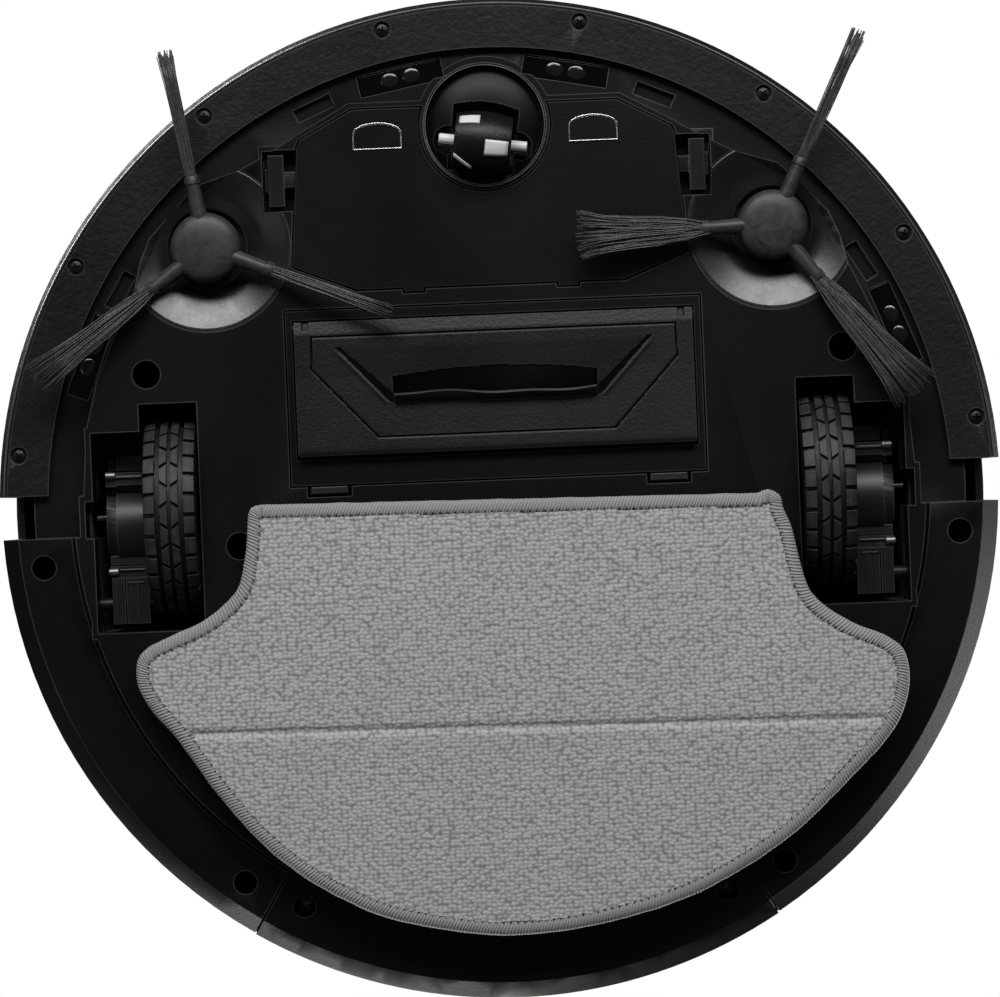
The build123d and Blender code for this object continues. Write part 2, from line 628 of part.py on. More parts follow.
def mop_plate():
    """The plate that carries the cloth, with four pegs that press up into the base."""
    plate = prism(mop_outline(), PLATE_Z, PLATE_Z + 2.4)
    for x, y in MOP_PEGS:
        for side in (-1, 1):
            plate += post(side * x, y, 4.0, PLATE_Z + 1, 18) + post(side * x, y, 7.5, PLATE_Z + 1, 11.6)
    return plate


def mop_cloth():
    """The terry cloth under the plate."""
    return prism(cloth_outline(), 0.6, 5.4)


def write(name, shape):
    """Writes one named piece."""
    export_step(shape, f"parts/{name}.step")


def main():
    os.makedirs("parts", exist_ok=True)
    single = (chassis_base, top_shell, top_deck_panel, start_button, display_window, power_switch, bumper,
              bumper_screws, bumper_switches, chassis_screws, pivot_pins, caster_bezel, caster_housing,
              caster_core, caster_tyre, charging_contacts, battery_cover, suction_frame, suction_head,
              suction_lip, air_duct, suction_fan, main_board, battery_pack, cliff_windows, dust_bin,
              bin_screws, bin_lid, bin_filter, bin_release_button, mop_plate, mop_cloth)
    for make in single:
        write(make.__name__, make())
    write("bumper_ir_window", window_band(148.0, 149.9, 36, 52))
    for make in (gearbox, drive_motor, gearbox_screws, suspension_spring, tyre, wheel_hub, wheel_axle):
        piece = make()
        write(f"{make.__name__}_right", piece)
        write(f"{make.__name__}_left", flip(piece))
    for side, name, arms in ((-1, "left", LEFT_ARMS), (1, "right", RIGHT_ARMS)):
        write(f"brush_dish_{name}", brush_dish(side))
        write(f"brush_motor_{name}", brush_motor(side))
        write(f"brush_hub_{name}", brush_hub(side, arms))
        write(f"brush_bristles_{name}", brush_bristles(side, arms))
        write(f"battery_latch_{name}", battery_latch(side))


main()
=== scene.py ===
import math
import random

import bmesh
import bpy
from mathutils import Matrix, Vector, noise
from mathutils.kdtree import KDTree


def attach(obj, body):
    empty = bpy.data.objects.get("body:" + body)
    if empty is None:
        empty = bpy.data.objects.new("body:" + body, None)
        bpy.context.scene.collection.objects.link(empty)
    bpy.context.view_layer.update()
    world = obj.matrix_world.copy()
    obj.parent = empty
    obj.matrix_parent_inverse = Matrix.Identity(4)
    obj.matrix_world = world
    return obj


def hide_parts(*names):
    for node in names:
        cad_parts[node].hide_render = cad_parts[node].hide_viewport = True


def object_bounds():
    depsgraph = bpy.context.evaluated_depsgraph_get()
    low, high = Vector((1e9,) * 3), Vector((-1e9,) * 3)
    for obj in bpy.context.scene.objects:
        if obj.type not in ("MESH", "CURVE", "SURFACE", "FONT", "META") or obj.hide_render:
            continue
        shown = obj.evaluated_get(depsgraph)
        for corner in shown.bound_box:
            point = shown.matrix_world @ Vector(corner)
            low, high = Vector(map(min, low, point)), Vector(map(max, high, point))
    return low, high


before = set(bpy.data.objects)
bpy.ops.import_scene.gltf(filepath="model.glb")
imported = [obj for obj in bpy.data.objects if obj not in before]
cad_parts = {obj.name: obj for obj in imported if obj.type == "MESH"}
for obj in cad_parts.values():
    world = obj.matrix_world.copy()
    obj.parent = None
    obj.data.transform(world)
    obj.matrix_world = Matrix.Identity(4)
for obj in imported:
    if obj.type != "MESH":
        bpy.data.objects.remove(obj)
cad_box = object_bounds()
scene = bpy.context.scene

# ---------------------------------------------------------------- stage
# The robot is seen from below, as it is when turned over for cleaning. The pale floor that it stands on
# shows only from above, and neither blocks nor colours the light that reaches the underside.
CAMERA_HEIGHT = -1.163
CAMERA_ROLL = math.radians(2.35)

camera = bpy.data.objects.new("camera", bpy.data.cameras.new("camera"))
scene.collection.objects.link(camera)
scene.camera = camera
camera.data.lens = 142.0
camera.data.sensor_width = 36.0
camera.location = (0.0, 0.0, CAMERA_HEIGHT)
right = Vector((math.cos(CAMERA_ROLL), math.sin(CAMERA_ROLL), 0.0))
up = Vector((math.sin(CAMERA_ROLL), -math.cos(CAMERA_ROLL), 0.0))
camera.rotation_euler = Matrix((right, up, right.cross(up))).transposed().to_euler()

scene.view_settings.view_transform = "Standard"
world = bpy.data.worlds.new("pale_room")
scene.world = world
world.use_nodes = True
backdrop = world.node_tree.nodes["Background"]
backdrop.inputs["Color"].default_value = (1.0, 1.0, 1.0, 1.0)
seen = world.node_tree.nodes.new("ShaderNodeLightPath")
level = world.node_tree.nodes.new("ShaderNodeMapRange")
level.inputs["To Min"].default_value = 0.06
level.inputs["To Max"].default_value = 1.0
world.node_tree.links.new(seen.outputs["Is Camera Ray"], level.inputs["Value"])
world.node_tree.links.new(level.outputs["Result"], backdrop.inputs["Strength"])


def softbox(name, place, target, width, depth, power):
    """An area light aimed at a point."""
    data = bpy.data.lights.new(name, "AREA")
    data.shape = "RECTANGLE"
    data.size, data.size_y, data.energy = width, depth, power
    light = bpy.data.objects.new(name, data)
    light.location = place
    light.rotation_euler = (Vector(target) - Vector(place)).to_track_quat("-Z", "Y").to_euler()
    scene.collection.objects.link(light)


softbox("front_below", (0.03, -0.98, -0.88), (0, -0.02, 0), 1.5, 0.45, 18.0)
softbox("left_below", (-1.2, 0.3, -0.7), (0, 0, 0), 0.6, 0.6, 1.2)
softbox("key_above", (-0.9, -0.9, 1.3), (0, 0, 0.04), 0.9, 0.9, 42.0)
softbox("fill_above", (1.2, 0.5, 0.9), (0, 0, 0.04), 0.8, 0.8, 24.0)
softbox("rear_above", (-0.4, 1.3, 0.8), (0, 0, 0.04), 0.9, 0.5, 28.0)

bm = bmesh.new()
bmesh.ops.create_grid(bm, x_segments=1, y_segments=1, size=4.0)
bmesh.ops.translate(bm, verts=bm.verts, vec=(0, 0, cad_box[0].z))
floor_mesh = bpy.data.meshes.new("floor")
bm.to_mesh(floor_mesh)
bm.free()
floor = bpy.data.objects.new("floor", floor_mesh)
scene.collection.objects.link(floor)
floor.visible_shadow = floor.visible_diffuse = floor.visible_glossy = floor.visible_transmission = False
floor_paint = bpy.data.materials.new("floor")
floor_paint.use_nodes = True
nodes, links = floor_paint.node_tree.nodes, floor_paint.node_tree.links
nodes["Principled BSDF"].inputs["Base Color"].default_value = (0.8, 0.8, 0.8, 1.0)
nodes["Principled BSDF"].inputs["Roughness"].default_value = 0.8
side_seen, clear, chooser = (nodes.new("ShaderNode" + kind) for kind in ("NewGeometry", "BsdfTransparent", "MixShader"))
links.new(side_seen.outputs["Backfacing"], chooser.inputs[0])
links.new(nodes["Principled BSDF"].outputs[0], chooser.inputs[1])
links.new(clear.outputs[0], chooser.inputs[2])
links.new(chooser.outputs[0], nodes["Material Output"].inputs["Surface"])
floor_mesh.materials.append(floor_paint)

# ---------------------------------------------------------------- base tray
# One injection-moulded tray of black ABS: the raised middle, the rear rim and the ledge above the bumper.
# Its face has a fine spark-eroded grain, and its wells and screw holes are moulded in.
MM = 0.001


class Signal:
    """A shader socket that takes part in sums. make() adds any other node to the same material."""

    def __init__(self, tree, socket=None):
        self.tree = tree
        self.socket = socket

    def make(self, kind, settings=None, inputs=None, output=0):
        node = self.tree.nodes.new("ShaderNode" + kind)
        for name, value in (settings or {}).items():
            if name == "stops":
                while len(node.color_ramp.elements) < len(value):
                    node.color_ramp.elements.new(0.5)
                for element, (position, colour) in zip(node.color_ramp.elements, value):
                    element.position = position
                    element.color = (*colour, 1.0) if isinstance(colour, tuple) else (colour, colour, colour, 1.0)
            else:
                setattr(node, name, value)
        for key, value in (inputs or {}).items():
            if isinstance(value, Signal):
                self.tree.links.new(value.socket, node.inputs[key])
            else:
                node.inputs[key].default_value = value
        return Signal(self.tree, node.outputs[output])

    def feed(self, socket):
        self.tree.links.new(self.socket, socket)

    def maths(self, operation, first, second=0.0):
        return self.make("Math", {"operation": operation}, {0: first, 1: second})

    def __add__(self, other):
        return self.maths("ADD", self, other)

    __radd__ = __add__

    def __sub__(self, other):
        return self.maths("SUBTRACT", self, other)

    def __rsub__(self, other):
        return self.maths("SUBTRACT", other, self)

    def __mul__(self, other):
        return self.maths("MULTIPLY", self, other)

    __rmul__ = __mul__

    def __truediv__(self, other):
        return self.maths("DIVIDE", self, other)

    def __pow__(self, other):
        return self.maths("POWER", self, other)


def new_finish(name, **sockets):
    """A Principled material with constants on its sockets, and a signal that starts at the object's own place."""
    material = bpy.data.materials.new(name)
    material.use_nodes = True
    shader = material.node_tree.nodes["Principled BSDF"]
    for socket, value in sockets.items():
        shader.inputs[socket.replace("_", " ")].default_value = value
    place = Signal(material.node_tree).make("TexCoord", output="Object")
    return material, shader, place


def grey(value):
    """A neutral colour."""
    return (value, value, value * 1.01, 1.0)


def grained_plastic(name, dark, light, rough, grain=1500.0, depth=0.12, speckle=0.25, edge_highlight=0.07, sunk=0.0, **sockets):
    """Moulded plastic: uneven sheen, a fine grain, a little pale dust, a painted highlight that makes its edges paler
    and, if sunk is given, painted fill light that makes its wells paler where they reach high into the body."""
    material, shader, place = new_finish(name, **sockets)
    broad = place.make("TexNoise", inputs={"Vector": place, "Scale": 22.0, "Detail": 3.0, "Roughness": 0.55})
    fine = place.make("TexNoise", inputs={"Vector": place, "Scale": grain, "Detail": 2.0, "Roughness": 0.6})
    dust = place.make("TexNoise", inputs={"Vector": place, "Scale": 420.0, "Detail": 4.0, "Roughness": 0.8})
    dust = place.make("ValToRGB", {"stops": ((0.60, 0.0), (0.78, 1.0))}, {"Fac": dust})
    tone = place.make("MapRange", inputs={"Value": broad * 0.6 + fine * 0.4, "From Min": 0.35, "From Max": 0.65})
    base = place.make("Mix", {"data_type": "RGBA"}, {0: tone, 6: grey(dark), 7: grey(light)}, 2)
    base = place.make("Mix", {"data_type": "RGBA"}, {0: dust * speckle, 6: base, 7: grey(light * 2.2 + 0.004)}, 2)
    # Painted highlight: where the Bevel normal parts from the face normal, near each rounded edge, the colour is mixed
    # towards a paler grey, so edges read as catching light.
    rounded = place.make("Bevel", {"samples": 4}, {"Radius": 0.0006})
    facing = place.make("NewGeometry", output="Normal")
    agree = place.make("VectorMath", {"operation": "DOT_PRODUCT"}, {0: rounded, 1: facing}, "Value")
    edge_highlight_mask = place.make("MapRange", inputs={"Value": agree, "From Min": 0.985, "From Max": 0.90})
    base = place.make("Mix", {"data_type": "RGBA"}, {0: edge_highlight_mask * (broad * 1.2 + 0.1), 6: base, 7: grey(edge_highlight)}, 2)
    # Painted fill light: above 22 mm in the object's own coordinates, inside the wells, the colour is mixed towards the
    # sunk grey, so the wells read as lit.
    if sunk:
        height = place.make("SeparateXYZ", inputs={"Vector": place}, output=2)
        deep = place.make("MapRange", inputs={"Value": height, "From Min": 0.022, "From Max": 0.034})
        base = place.make("Mix", {"data_type": "RGBA"}, {0: deep * broad * 1.6, 6: base, 7: grey(sunk)}, 2)
    base.feed(shader.inputs["Base Color"])
    (broad * 0.16 + fine * 0.10 + (rough - 0.13)).feed(shader.inputs["Roughness"])
    relief = place.make("Bump", inputs={"Height": fine, "Strength": depth, "Distance": 0.0004})
    relief.feed(shader.inputs["Normal"])
    return material


def add_piece(name, bm, material, body, slot, *nodes, smooth=32.0):
    """Makes a finished mesh object out of a bmesh and rides it on its body."""
    mesh = bpy.data.meshes.new(name)
    bm.to_mesh(mesh)
    bm.free()
    mesh.polygons.foreach_set("use_smooth", [True] * len(mesh.polygons))
    mesh.set_sharp_from_angle(angle=math.radians(smooth))
    mesh.materials.append(material)
    piece = bpy.data.objects.new(name, mesh)
    scene.collection.objects.link(piece)
    if nodes:
        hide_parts(*nodes)
    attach(piece, body)
    return piece


def edge_bevel(piece, width, segments=2):
    """Rounds a moulded piece's edges by a fraction of a millimetre."""
    bevel = piece.modifiers.new("edges", "BEVEL")
    bevel.width = width * MM
    bevel.segments = segments
    bevel.limit_method = "ANGLE"
    bevel.angle_limit = math.radians(28.0)
    bevel.harden_normals = True


def cad_copy(node):
    """A welded copy of a CAD node's mesh with its flat faces joined up."""
    bm = bmesh.new()
    bm.from_mesh(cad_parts[node].data)
    bmesh.ops.remove_doubles(bm, verts=bm.verts, dist=0.004 * MM)
    bmesh.ops.dissolve_limit(bm, angle_limit=math.radians(0.6), verts=bm.verts, edges=bm.edges)
    return bm


def moulded(node, material, slot, body="base", width=0.25, segments=2):
    """A CAD node shown as a moulding with softened edges."""
    piece = add_piece(f"{node}_moulding", cad_copy(node), material, body, slot, node)
    edge_bevel(piece, width, segments)
    return piece


# This tray's wells get painted fill light through sunk.
base_black = grained_plastic("base_black", 0.0018, 0.0042, 0.46, speckle=0.12, edge_highlight=0.12, sunk=0.3,
                             Specular_IOR_Level=0.2)
moulded("chassis_base", base_black, "body_plastic")

# ---------------------------------------------------------------- top casing
# The upper casing and its rear skirt are one moulding of the same black ABS, a shade lighter and smoother
# than the base. A glossy printed-through acrylic disc is bonded to its deck.
casing_black = grained_plastic("casing_black", 0.008, 0.013, 0.42, speckle=0.05, Specular_IOR_Level=0.4)
moulded("top_shell", casing_black, "body_plastic")

deck_gloss, shader, place = new_finish("deck_gloss", Coat_Weight=0.8, Coat_Roughness=0.04, Roughness=0.22)
streak = place.make("TexNoise", inputs={"Vector": place, "Scale": 60.0, "Detail": 6.0, "Roughness": 0.7})
smear = place.make("MapRange", inputs={"Value": streak, "From Min": 0.4, "From Max": 0.8, "To Min": 0.1, "To Max": 0.32})
smear.feed(shader.inputs["Roughness"])
place.make("Mix", {"data_type": "RGBA"}, {0: streak, 6: grey(0.006), 7: grey(0.012)}, 2).feed(
    shader.inputs["Base Color"])
moulded("top_deck_panel", deck_gloss, "deck_gloss", width=0.3, segments=3)

# ---------------------------------------------------------------- bumper
# A sprung front bumper, moulded in grained black ABS, whose flange turns in under the base. A fine bead
# runs along the corner between its flange and its wall.
BEAD_R, BEAD_Z, BEAD_SIZE = 148.3, 17.0, 0.32
BUMPER_END_ANGLE = math.degrees(math.asin(6.6 / BEAD_R))

bumper_black = grained_plastic("bumper_black", 0.0038, 0.0100, 0.46, grain=650, depth=0.45, speckle=1.0, edge_highlight=0.1,
                               Specular_IOR_Level=0.3)
moulded("bumper", bumper_black, "bumper_plastic", body="bumper", width=0.3)
# The bead is coloured far paler than the bumper: a painted highlight along the corner.
bead_painted_highlight = grained_plastic("bead_painted_highlight", 0.05, 0.09, 0.34, speckle=0.1)
bm = bmesh.new()
ring = bmesh.ops.create_circle(bm, segments=8, radius=BEAD_SIZE * MM)
bmesh.ops.rotate(bm, verts=bm.verts, matrix=Matrix.Rotation(math.radians(90), 3, "X"))
bmesh.ops.translate(bm, verts=bm.verts, vec=(BEAD_R * MM, 0, BEAD_Z * MM))
bmesh.ops.rotate(bm, verts=bm.verts, matrix=Matrix.Rotation(math.radians(-BUMPER_END_ANGLE), 3, "Z"))
bmesh.ops.spin(bm, geom=bm.verts[:] + bm.edges[:], axis=(0, 0, -1), cent=(0, 0, 0), steps=150,
               angle=math.radians(180 - 2 * BUMPER_END_ANGLE))
bmesh.ops.holes_fill(bm, edges=bm.edges)
bmesh.ops.recalc_face_normals(bm, faces=bm.faces)
add_piece("bumper_bead", bm, bead_painted_highlight, "bumper", "bumper_plastic")

smoked, shader, place = new_finish("smoked_window", Roughness=0.06, Specular_IOR_Level=0.3)
haze = place.make("TexNoise", inputs={"Vector": place, "Scale": 90.0, "Detail": 4.0})
place.make("Mix", {"data_type": "RGBA"}, {0: haze, 6: (0.001, 0.001, 0.001, 1), 7: (0.003, 0.003, 0.003, 1)},
           2).feed(shader.inputs["Base Color"])
moulded("bumper_ir_window", smoked, "smoked_window", body="bumper", width=0.2)

# ---------------------------------------------------------------- screws
# Cross-head self-tapping screws: blackened ones in the bumper's flange, zinc-plated ones deep in the base
# and the bin. Each has a low domed head with a tapered cross pressed into it.
def metal(name, dark, light, rough, scratch=300.0):
    """Metal with faint uneven polish and small scratches."""
    material, shader, place = new_finish(name, Metallic=1.0)
    broad = place.make("TexNoise", inputs={"Vector": place, "Scale": 120.0, "Detail": 4.0})
    fine = place.make("TexNoise", inputs={"Vector": place, "Scale": scratch * 8, "Detail": 3.0, "Distortion": 1.5})
    place.make("Mix", {"data_type": "RGBA"}, {0: broad, 6: grey(dark), 7: grey(light)}, 2).feed(
        shader.inputs["Base Color"])
    (fine * 0.22 + (rough - 0.11)).feed(shader.inputs["Roughness"])
    place.make("Bump", inputs={"Height": fine, "Strength": 0.08, "Distance": 0.0002}).feed(shader.inputs["Normal"])
    return material


def cross_head_screw(bm, x, y, z, head_r, turn):
    """Adds one screw head that faces down, with its cross at the middle and its rim a little higher."""
    arm, half, depth = 0.66 * head_r, 0.14 * head_r, 0.5 * head_r
    rim = bmesh.ops.create_circle(bm, segments=24, radius=head_r)["verts"]
    for vert in rim:
        vert.co.z = 0.16 * head_r
    corners = []
    for quarter in range(4):
        spin = Matrix.Rotation(quarter * math.pi / 2, 3, "Z")
        corners += [spin @ Vector(corner) for corner in ((half, -half, 0), (arm, -half, 0), (arm, half, 0))]
    cross = [bm.verts.new(corner) for corner in corners]
    slot = [bm.edges.new((cross[i], cross[i - 1])) for i in range(len(cross))]
    edges = list({edge for vert in rim for edge in vert.link_edges})
    bmesh.ops.bridge_loops(bm, edges=edges + slot)
    sunk = bmesh.ops.extrude_edge_only(bm, edges=slot)["geom"]
    low = [part for part in sunk if isinstance(part, bmesh.types.BMVert)]
    bmesh.ops.scale(bm, verts=low, vec=(0.5, 0.5, 1))
    bmesh.ops.translate(bm, verts=low, vec=(0, 0, depth))
    bmesh.ops.edgeloop_fill(bm, edges=[part for part in sunk if isinstance(part, bmesh.types.BMEdge)])
    skirt = bmesh.ops.extrude_edge_only(bm, edges=edges)["geom"]
    wall = [part for part in skirt if isinstance(part, bmesh.types.BMVert)]
    bmesh.ops.translate(bm, verts=wall, vec=(0, 0, 0.45 * head_r))
    own = {*rim, *cross, *low, *wall}
    place = Matrix.Translation(Vector((x, y, z))) @ Matrix.Rotation(math.radians(turn), 4, "Z")
    place = Matrix.Scale(MM, 4) @ place
    bmesh.ops.transform(bm, matrix=place, verts=list(own))


def screws(name, material, slot, body, node, places, z, head_r):
    """A group of like screws, each turned by a different amount."""
    bm = bmesh.new()
    for number, (x, y) in enumerate(places):
        cross_head_screw(bm, x, y, z, head_r, 37.0 * number + 15.0)
    bmesh.ops.recalc_face_normals(bm, faces=bm.faces)
    return add_piece(name, bm, material, body, slot, node)


BUMPER_SCREW_R = 144.5
BUMPER_SCREW_ANGLES = (11.8, 35.4, 59.0, 82.6)
BASE_SCREWS = ((137.0, 15.2), (80.7, 111.6), (103.8, -41.2), (78.0, 11.0))
black_zinc = metal("black_zinc", 0.02, 0.05, 0.45)
zinc = metal("zinc", 0.16, 0.30, 0.42)
steel = metal("steel", 0.35, 0.5, 0.36)
places = []
for angle in BUMPER_SCREW_ANGLES:
    for side in (-1, 1):
        turn = math.radians(angle)
        places.append((side * BUMPER_SCREW_R * math.sin(turn), -BUMPER_SCREW_R * math.cos(turn)))
screws("bumper_screw_heads", black_zinc, "dark_steel", "bumper", "bumper_screws", places, 16.6, 1.75)
screws("base_screw_heads", zinc, "steel", "base", "chassis_screws",
       [(side * x, y) for x, y in BASE_SCREWS for side in (-1, 1)], 47.8, 2.8)
screws("bin_screw_heads", zinc, "steel", "dust_bin", "bin_screws", [(-63.3, 119.5), (63.3, 119.5)], 23.6, 2.8)

# ---------------------------------------------------------------- battery cover and contacts
# A thin satin cover notched round the caster, two finger latches beside it, and two nickel-plated spring
# contacts with a raised bright rim about a brushed plate.
CONTACT_X, CONTACT_Y, CONTACT_Z = 32.2, -109.4, 11.6
CONTACT_OUTLINE = ((-7.35, 4.05), (-7.35, -1.2), (-6.5, -2.4), (-4.6, -3.35), (-2.4, -3.85), (0, -4.05),
                   (2.4, -3.85), (4.6, -3.35), (6.5, -2.4), (7.35, -1.2), (7.35, 4.05))

cover_black = grained_plastic("cover_black", 0.0022, 0.0048, 0.42, speckle=0.12, Specular_IOR_Level=0.22)
latch_grey = grained_plastic("latch_grey", 0.005, 0.011, 0.40, speckle=0.2, edge_highlight=0.16, Specular_IOR_Level=0.3)
moulded("battery_cover", cover_black, "body_plastic", body="battery_cover")
moulded("battery_latch_left", latch_grey, "sled_plastic", body="battery_latch_left", width=0.35)
moulded("battery_latch_right", latch_grey, "sled_plastic", body="battery_latch_right", width=0.35)

nickel = metal("nickel", 0.65, 0.9, 0.25)
plate_steel = grained_plastic("plate_steel", 0.016, 0.030, 0.36, grain=2200, speckle=0.5, edge_highlight=0.3)
bm = bmesh.new()
for side in (-1, 1):
    corners = [bm.verts.new(((side * CONTACT_X + x) * MM, (CONTACT_Y + y) * MM, CONTACT_Z * MM))
               for x, y in CONTACT_OUTLINE]
    plate = bm.faces.new(corners)
    wall = bmesh.ops.extrude_edge_only(bm, edges=plate.edges)["geom"]
    wall = [part for part in wall if isinstance(part, bmesh.types.BMVert)]
    bmesh.ops.translate(bm, verts=wall, vec=(0, 0, 3.0 * MM))
    bmesh.ops.inset_region(bm, faces=[plate], thickness=0.5 * MM, depth=0.0)
    bmesh.ops.inset_region(bm, faces=[plate], thickness=0.4 * MM, depth=0.0)
    bmesh.ops.translate(bm, verts=plate.verts, vec=(0, 0, 0.6 * MM))
    plate.material_index = 1
bmesh.ops.recalc_face_normals(bm, faces=bm.faces)
contacts = add_piece("contact_plates", bm, nickel, "base", "contact_metal", "charging_contacts")
contacts.data.materials.append(plate_steel)
edge_bevel(contacts, 0.25, 3)
bm = bmesh.new()
for side in (-1, 1):
    seat = bmesh.ops.create_grid(bm, x_segments=1, y_segments=1, size=0.5)["verts"]
    bmesh.ops.scale(bm, verts=seat, vec=(17.4 * MM, 10.7 * MM, 1))
    bmesh.ops.translate(bm, verts=seat, vec=(side * CONTACT_X * MM, CONTACT_Y * MM, 11.97 * MM))
bmesh.ops.reverse_faces(bm, faces=bm.faces)
add_piece("contact_seats", bm, cover_black, "battery_cover", "body_plastic")

# ---------------------------------------------------------------- cliff windows
# Four clear polycarbonate windows over the infrared cliff sensors, each with two moulded lens domes.
clear_plastic, shader, place = new_finish("clear_plastic", Coat_Weight=0.3, Coat_Roughness=0.1, IOR=1.5)
ripple = place.make("TexNoise", inputs={"Vector": place, "Scale": 240.0, "Detail": 3.0})
place.make("Mix", {"data_type": "RGBA"}, {0: ripple, 6: grey(0.002), 7: grey(0.012)}, 2).feed(
    shader.inputs["Base Color"])
(ripple * 0.2 + 0.02).feed(shader.inputs["Roughness"])
place.make("Bump", inputs={"Height": ripple, "Strength": 0.5, "Distance": 0.0008}).feed(shader.inputs["Normal"])
moulded("cliff_windows", smoked, "clear_window", width=0.3)
bm = bmesh.new()
for angle in (-68.5, -11.0, 11.0, 68.5):
    for offset in (-3.3, 3.3):
        dome = bmesh.ops.create_uvsphere(bm, u_segments=20, v_segments=10, radius=2.3 * MM)["verts"]
        bmesh.ops.scale(bm, verts=dome, vec=(1.25, 1.05, 0.28))
        bmesh.ops.translate(bm, verts=dome, vec=(offset * MM, -129.5 * MM, 18.5 * MM))
        bmesh.ops.rotate(bm, verts=dome, cent=(0, 0, 0), matrix=Matrix.Rotation(math.radians(angle), 3, "Z"))
add_piece("cliff_lenses", bm, clear_plastic, "base", "clear_window")

# ---------------------------------------------------------------- caster
# A swivelling dome with a barrel-shaped rubber wheel on a white acetal core, whose axle ends and rib ends
# show. A satin trim ring with two fine beads surrounds it.
CASTER_Y, CASTER_TURN, CASTER_TRAIL, CASTER_WHEEL_R = -111.4, 8.0, 5.5, 9.25
caster_frame = Matrix.Translation((0, CASTER_Y * MM, 0)) @ Matrix.Rotation(math.radians(CASTER_TURN), 4, "Z")

ring_satin, shader, place = new_finish("ring_satin", Roughness=0.3)
height = place.make("SeparateXYZ", inputs={"Vector": place}, output=2)
# Painted highlight: the two beads' crests, lowest towards the floor, are mixed from near-black towards pale grey,
# broken up by noise.
crest_highlight = place.make("MapRange", inputs={"Value": height, "From Min": 0.01125, "From Max": 0.0110})
highlight_breakup = place.make("TexNoise", inputs={"Vector": place, "Scale": 120.0, "Detail": 3.0})
place.make("Mix", {"data_type": "RGBA"}, {0: crest_highlight * (highlight_breakup + 0.3), 6: grey(0.004), 7: grey(0.22)}, 2).feed(
    shader.inputs["Base Color"])
bm = bmesh.new()
RING_PROFILE = ((17.55, 15.0), (17.55, 12.2), (17.6, 11.3), (17.75, 10.95), (17.92, 11.05), (18.02, 11.5),
                (18.12, 11.45), (18.22, 11.0), (18.38, 10.82), (18.5, 11.1), (18.5, 15.0))
chain = [bm.verts.new((r * MM, 0, z * MM)) for r, z in RING_PROFILE]
loop = [bm.edges.new(pair) for pair in zip(chain, chain[1:] + chain[:1])]
bmesh.ops.spin(bm, geom=chain + loop, axis=(0, 0, 1), cent=(0, 0, 0), steps=96, angle=math.tau, use_merge=True)
bmesh.ops.recalc_face_normals(bm, faces=bm.faces)
bmesh.ops.translate(bm, verts=bm.verts, vec=(0, CASTER_Y * MM, 0))
add_piece("caster_ring", bm, ring_satin, "base", "satin_plastic", "caster_bezel", smooth=70)

dome_black = grained_plastic("dome_black", 0.0015, 0.0035, 0.42, grain=1800, depth=0.06, speckle=0.06,
                             Specular_IOR_Level=0.2)
LOBE_X, LOBE_R, MOUTH_HALF, MOUTH_FRONT = 10.6, 3.9, 9.7, -5.0
bm = bmesh.new()
bmesh.ops.create_grid(bm, x_segments=124, y_segments=124, size=17.36)
outside = [vert for vert in bm.verts if vert.co.length > 17.25]
for vert in bm.verts:
    x, y = vert.co.x, vert.co.y
    lobe = math.hypot(abs(x) - LOBE_X, y - CASTER_TRAIL) < LOBE_R
    if (abs(x) < MOUTH_HALF and y > MOUTH_FRONT - 1.6 * math.cos(x / 6.5)) or lobe:
        outside.append(vert)
bmesh.ops.delete(bm, geom=list(set(outside)), context="VERTS")
for vert in bm.verts:
    vert.co.z = 10.3 + 3.6 * (vert.co.length / 17.2) ** 3
rim = [edge for edge in bm.edges if edge.is_boundary]
bmesh.ops.smooth_vert(bm, verts=list({vert for edge in rim for vert in edge.verts}), factor=0.5, use_axis_x=True,
                      use_axis_y=True)
grown = bmesh.ops.extrude_edge_only(bm, edges=rim)["geom"]
bmesh.ops.translate(bm, verts=[part for part in grown if isinstance(part, bmesh.types.BMVert)], vec=(0, 0, 4.0))
bmesh.ops.scale(bm, verts=bm.verts, vec=(MM, MM, MM))
bmesh.ops.transform(bm, matrix=caster_frame, verts=bm.verts)
bmesh.ops.recalc_face_normals(bm, faces=bm.faces)
if sum(face.normal.z for face in bm.faces) > 0:
    bmesh.ops.reverse_faces(bm, faces=bm.faces)
add_piece("caster_dome", bm, dome_black, "caster", "body_plastic", smooth=50)
bm = cad_copy("caster_housing")
for vert in bm.verts:
    if vert.co.z < 0.0146:
        vert.co.z = 0.0146
add_piece("caster_stem", bm, dome_black, "caster", "body_plastic", "caster_housing")
caster_rubber = grained_plastic("caster_rubber", 0.003, 0.007, 0.42, grain=900, depth=0.25, speckle=0.12,
                                Specular_IOR_Level=0.3)
moulded("caster_tyre", caster_rubber, "soft_rubber", body="caster_wheel", width=0.25)
acetal, shader, place = new_finish("acetal", Roughness=0.35)
stain = place.make("TexNoise", inputs={"Vector": place, "Scale": 180.0, "Detail": 3.0})
place.make("Mix", {"data_type": "RGBA"}, {0: stain, 6: grey(0.62), 7: grey(0.85)}, 2).feed(
    shader.inputs["Base Color"])
(stain * 0.15 + 0.28).feed(shader.inputs["Roughness"])
moulded("caster_core", acetal, "white_plastic", body="caster_wheel", width=0.3)
bm = bmesh.new()
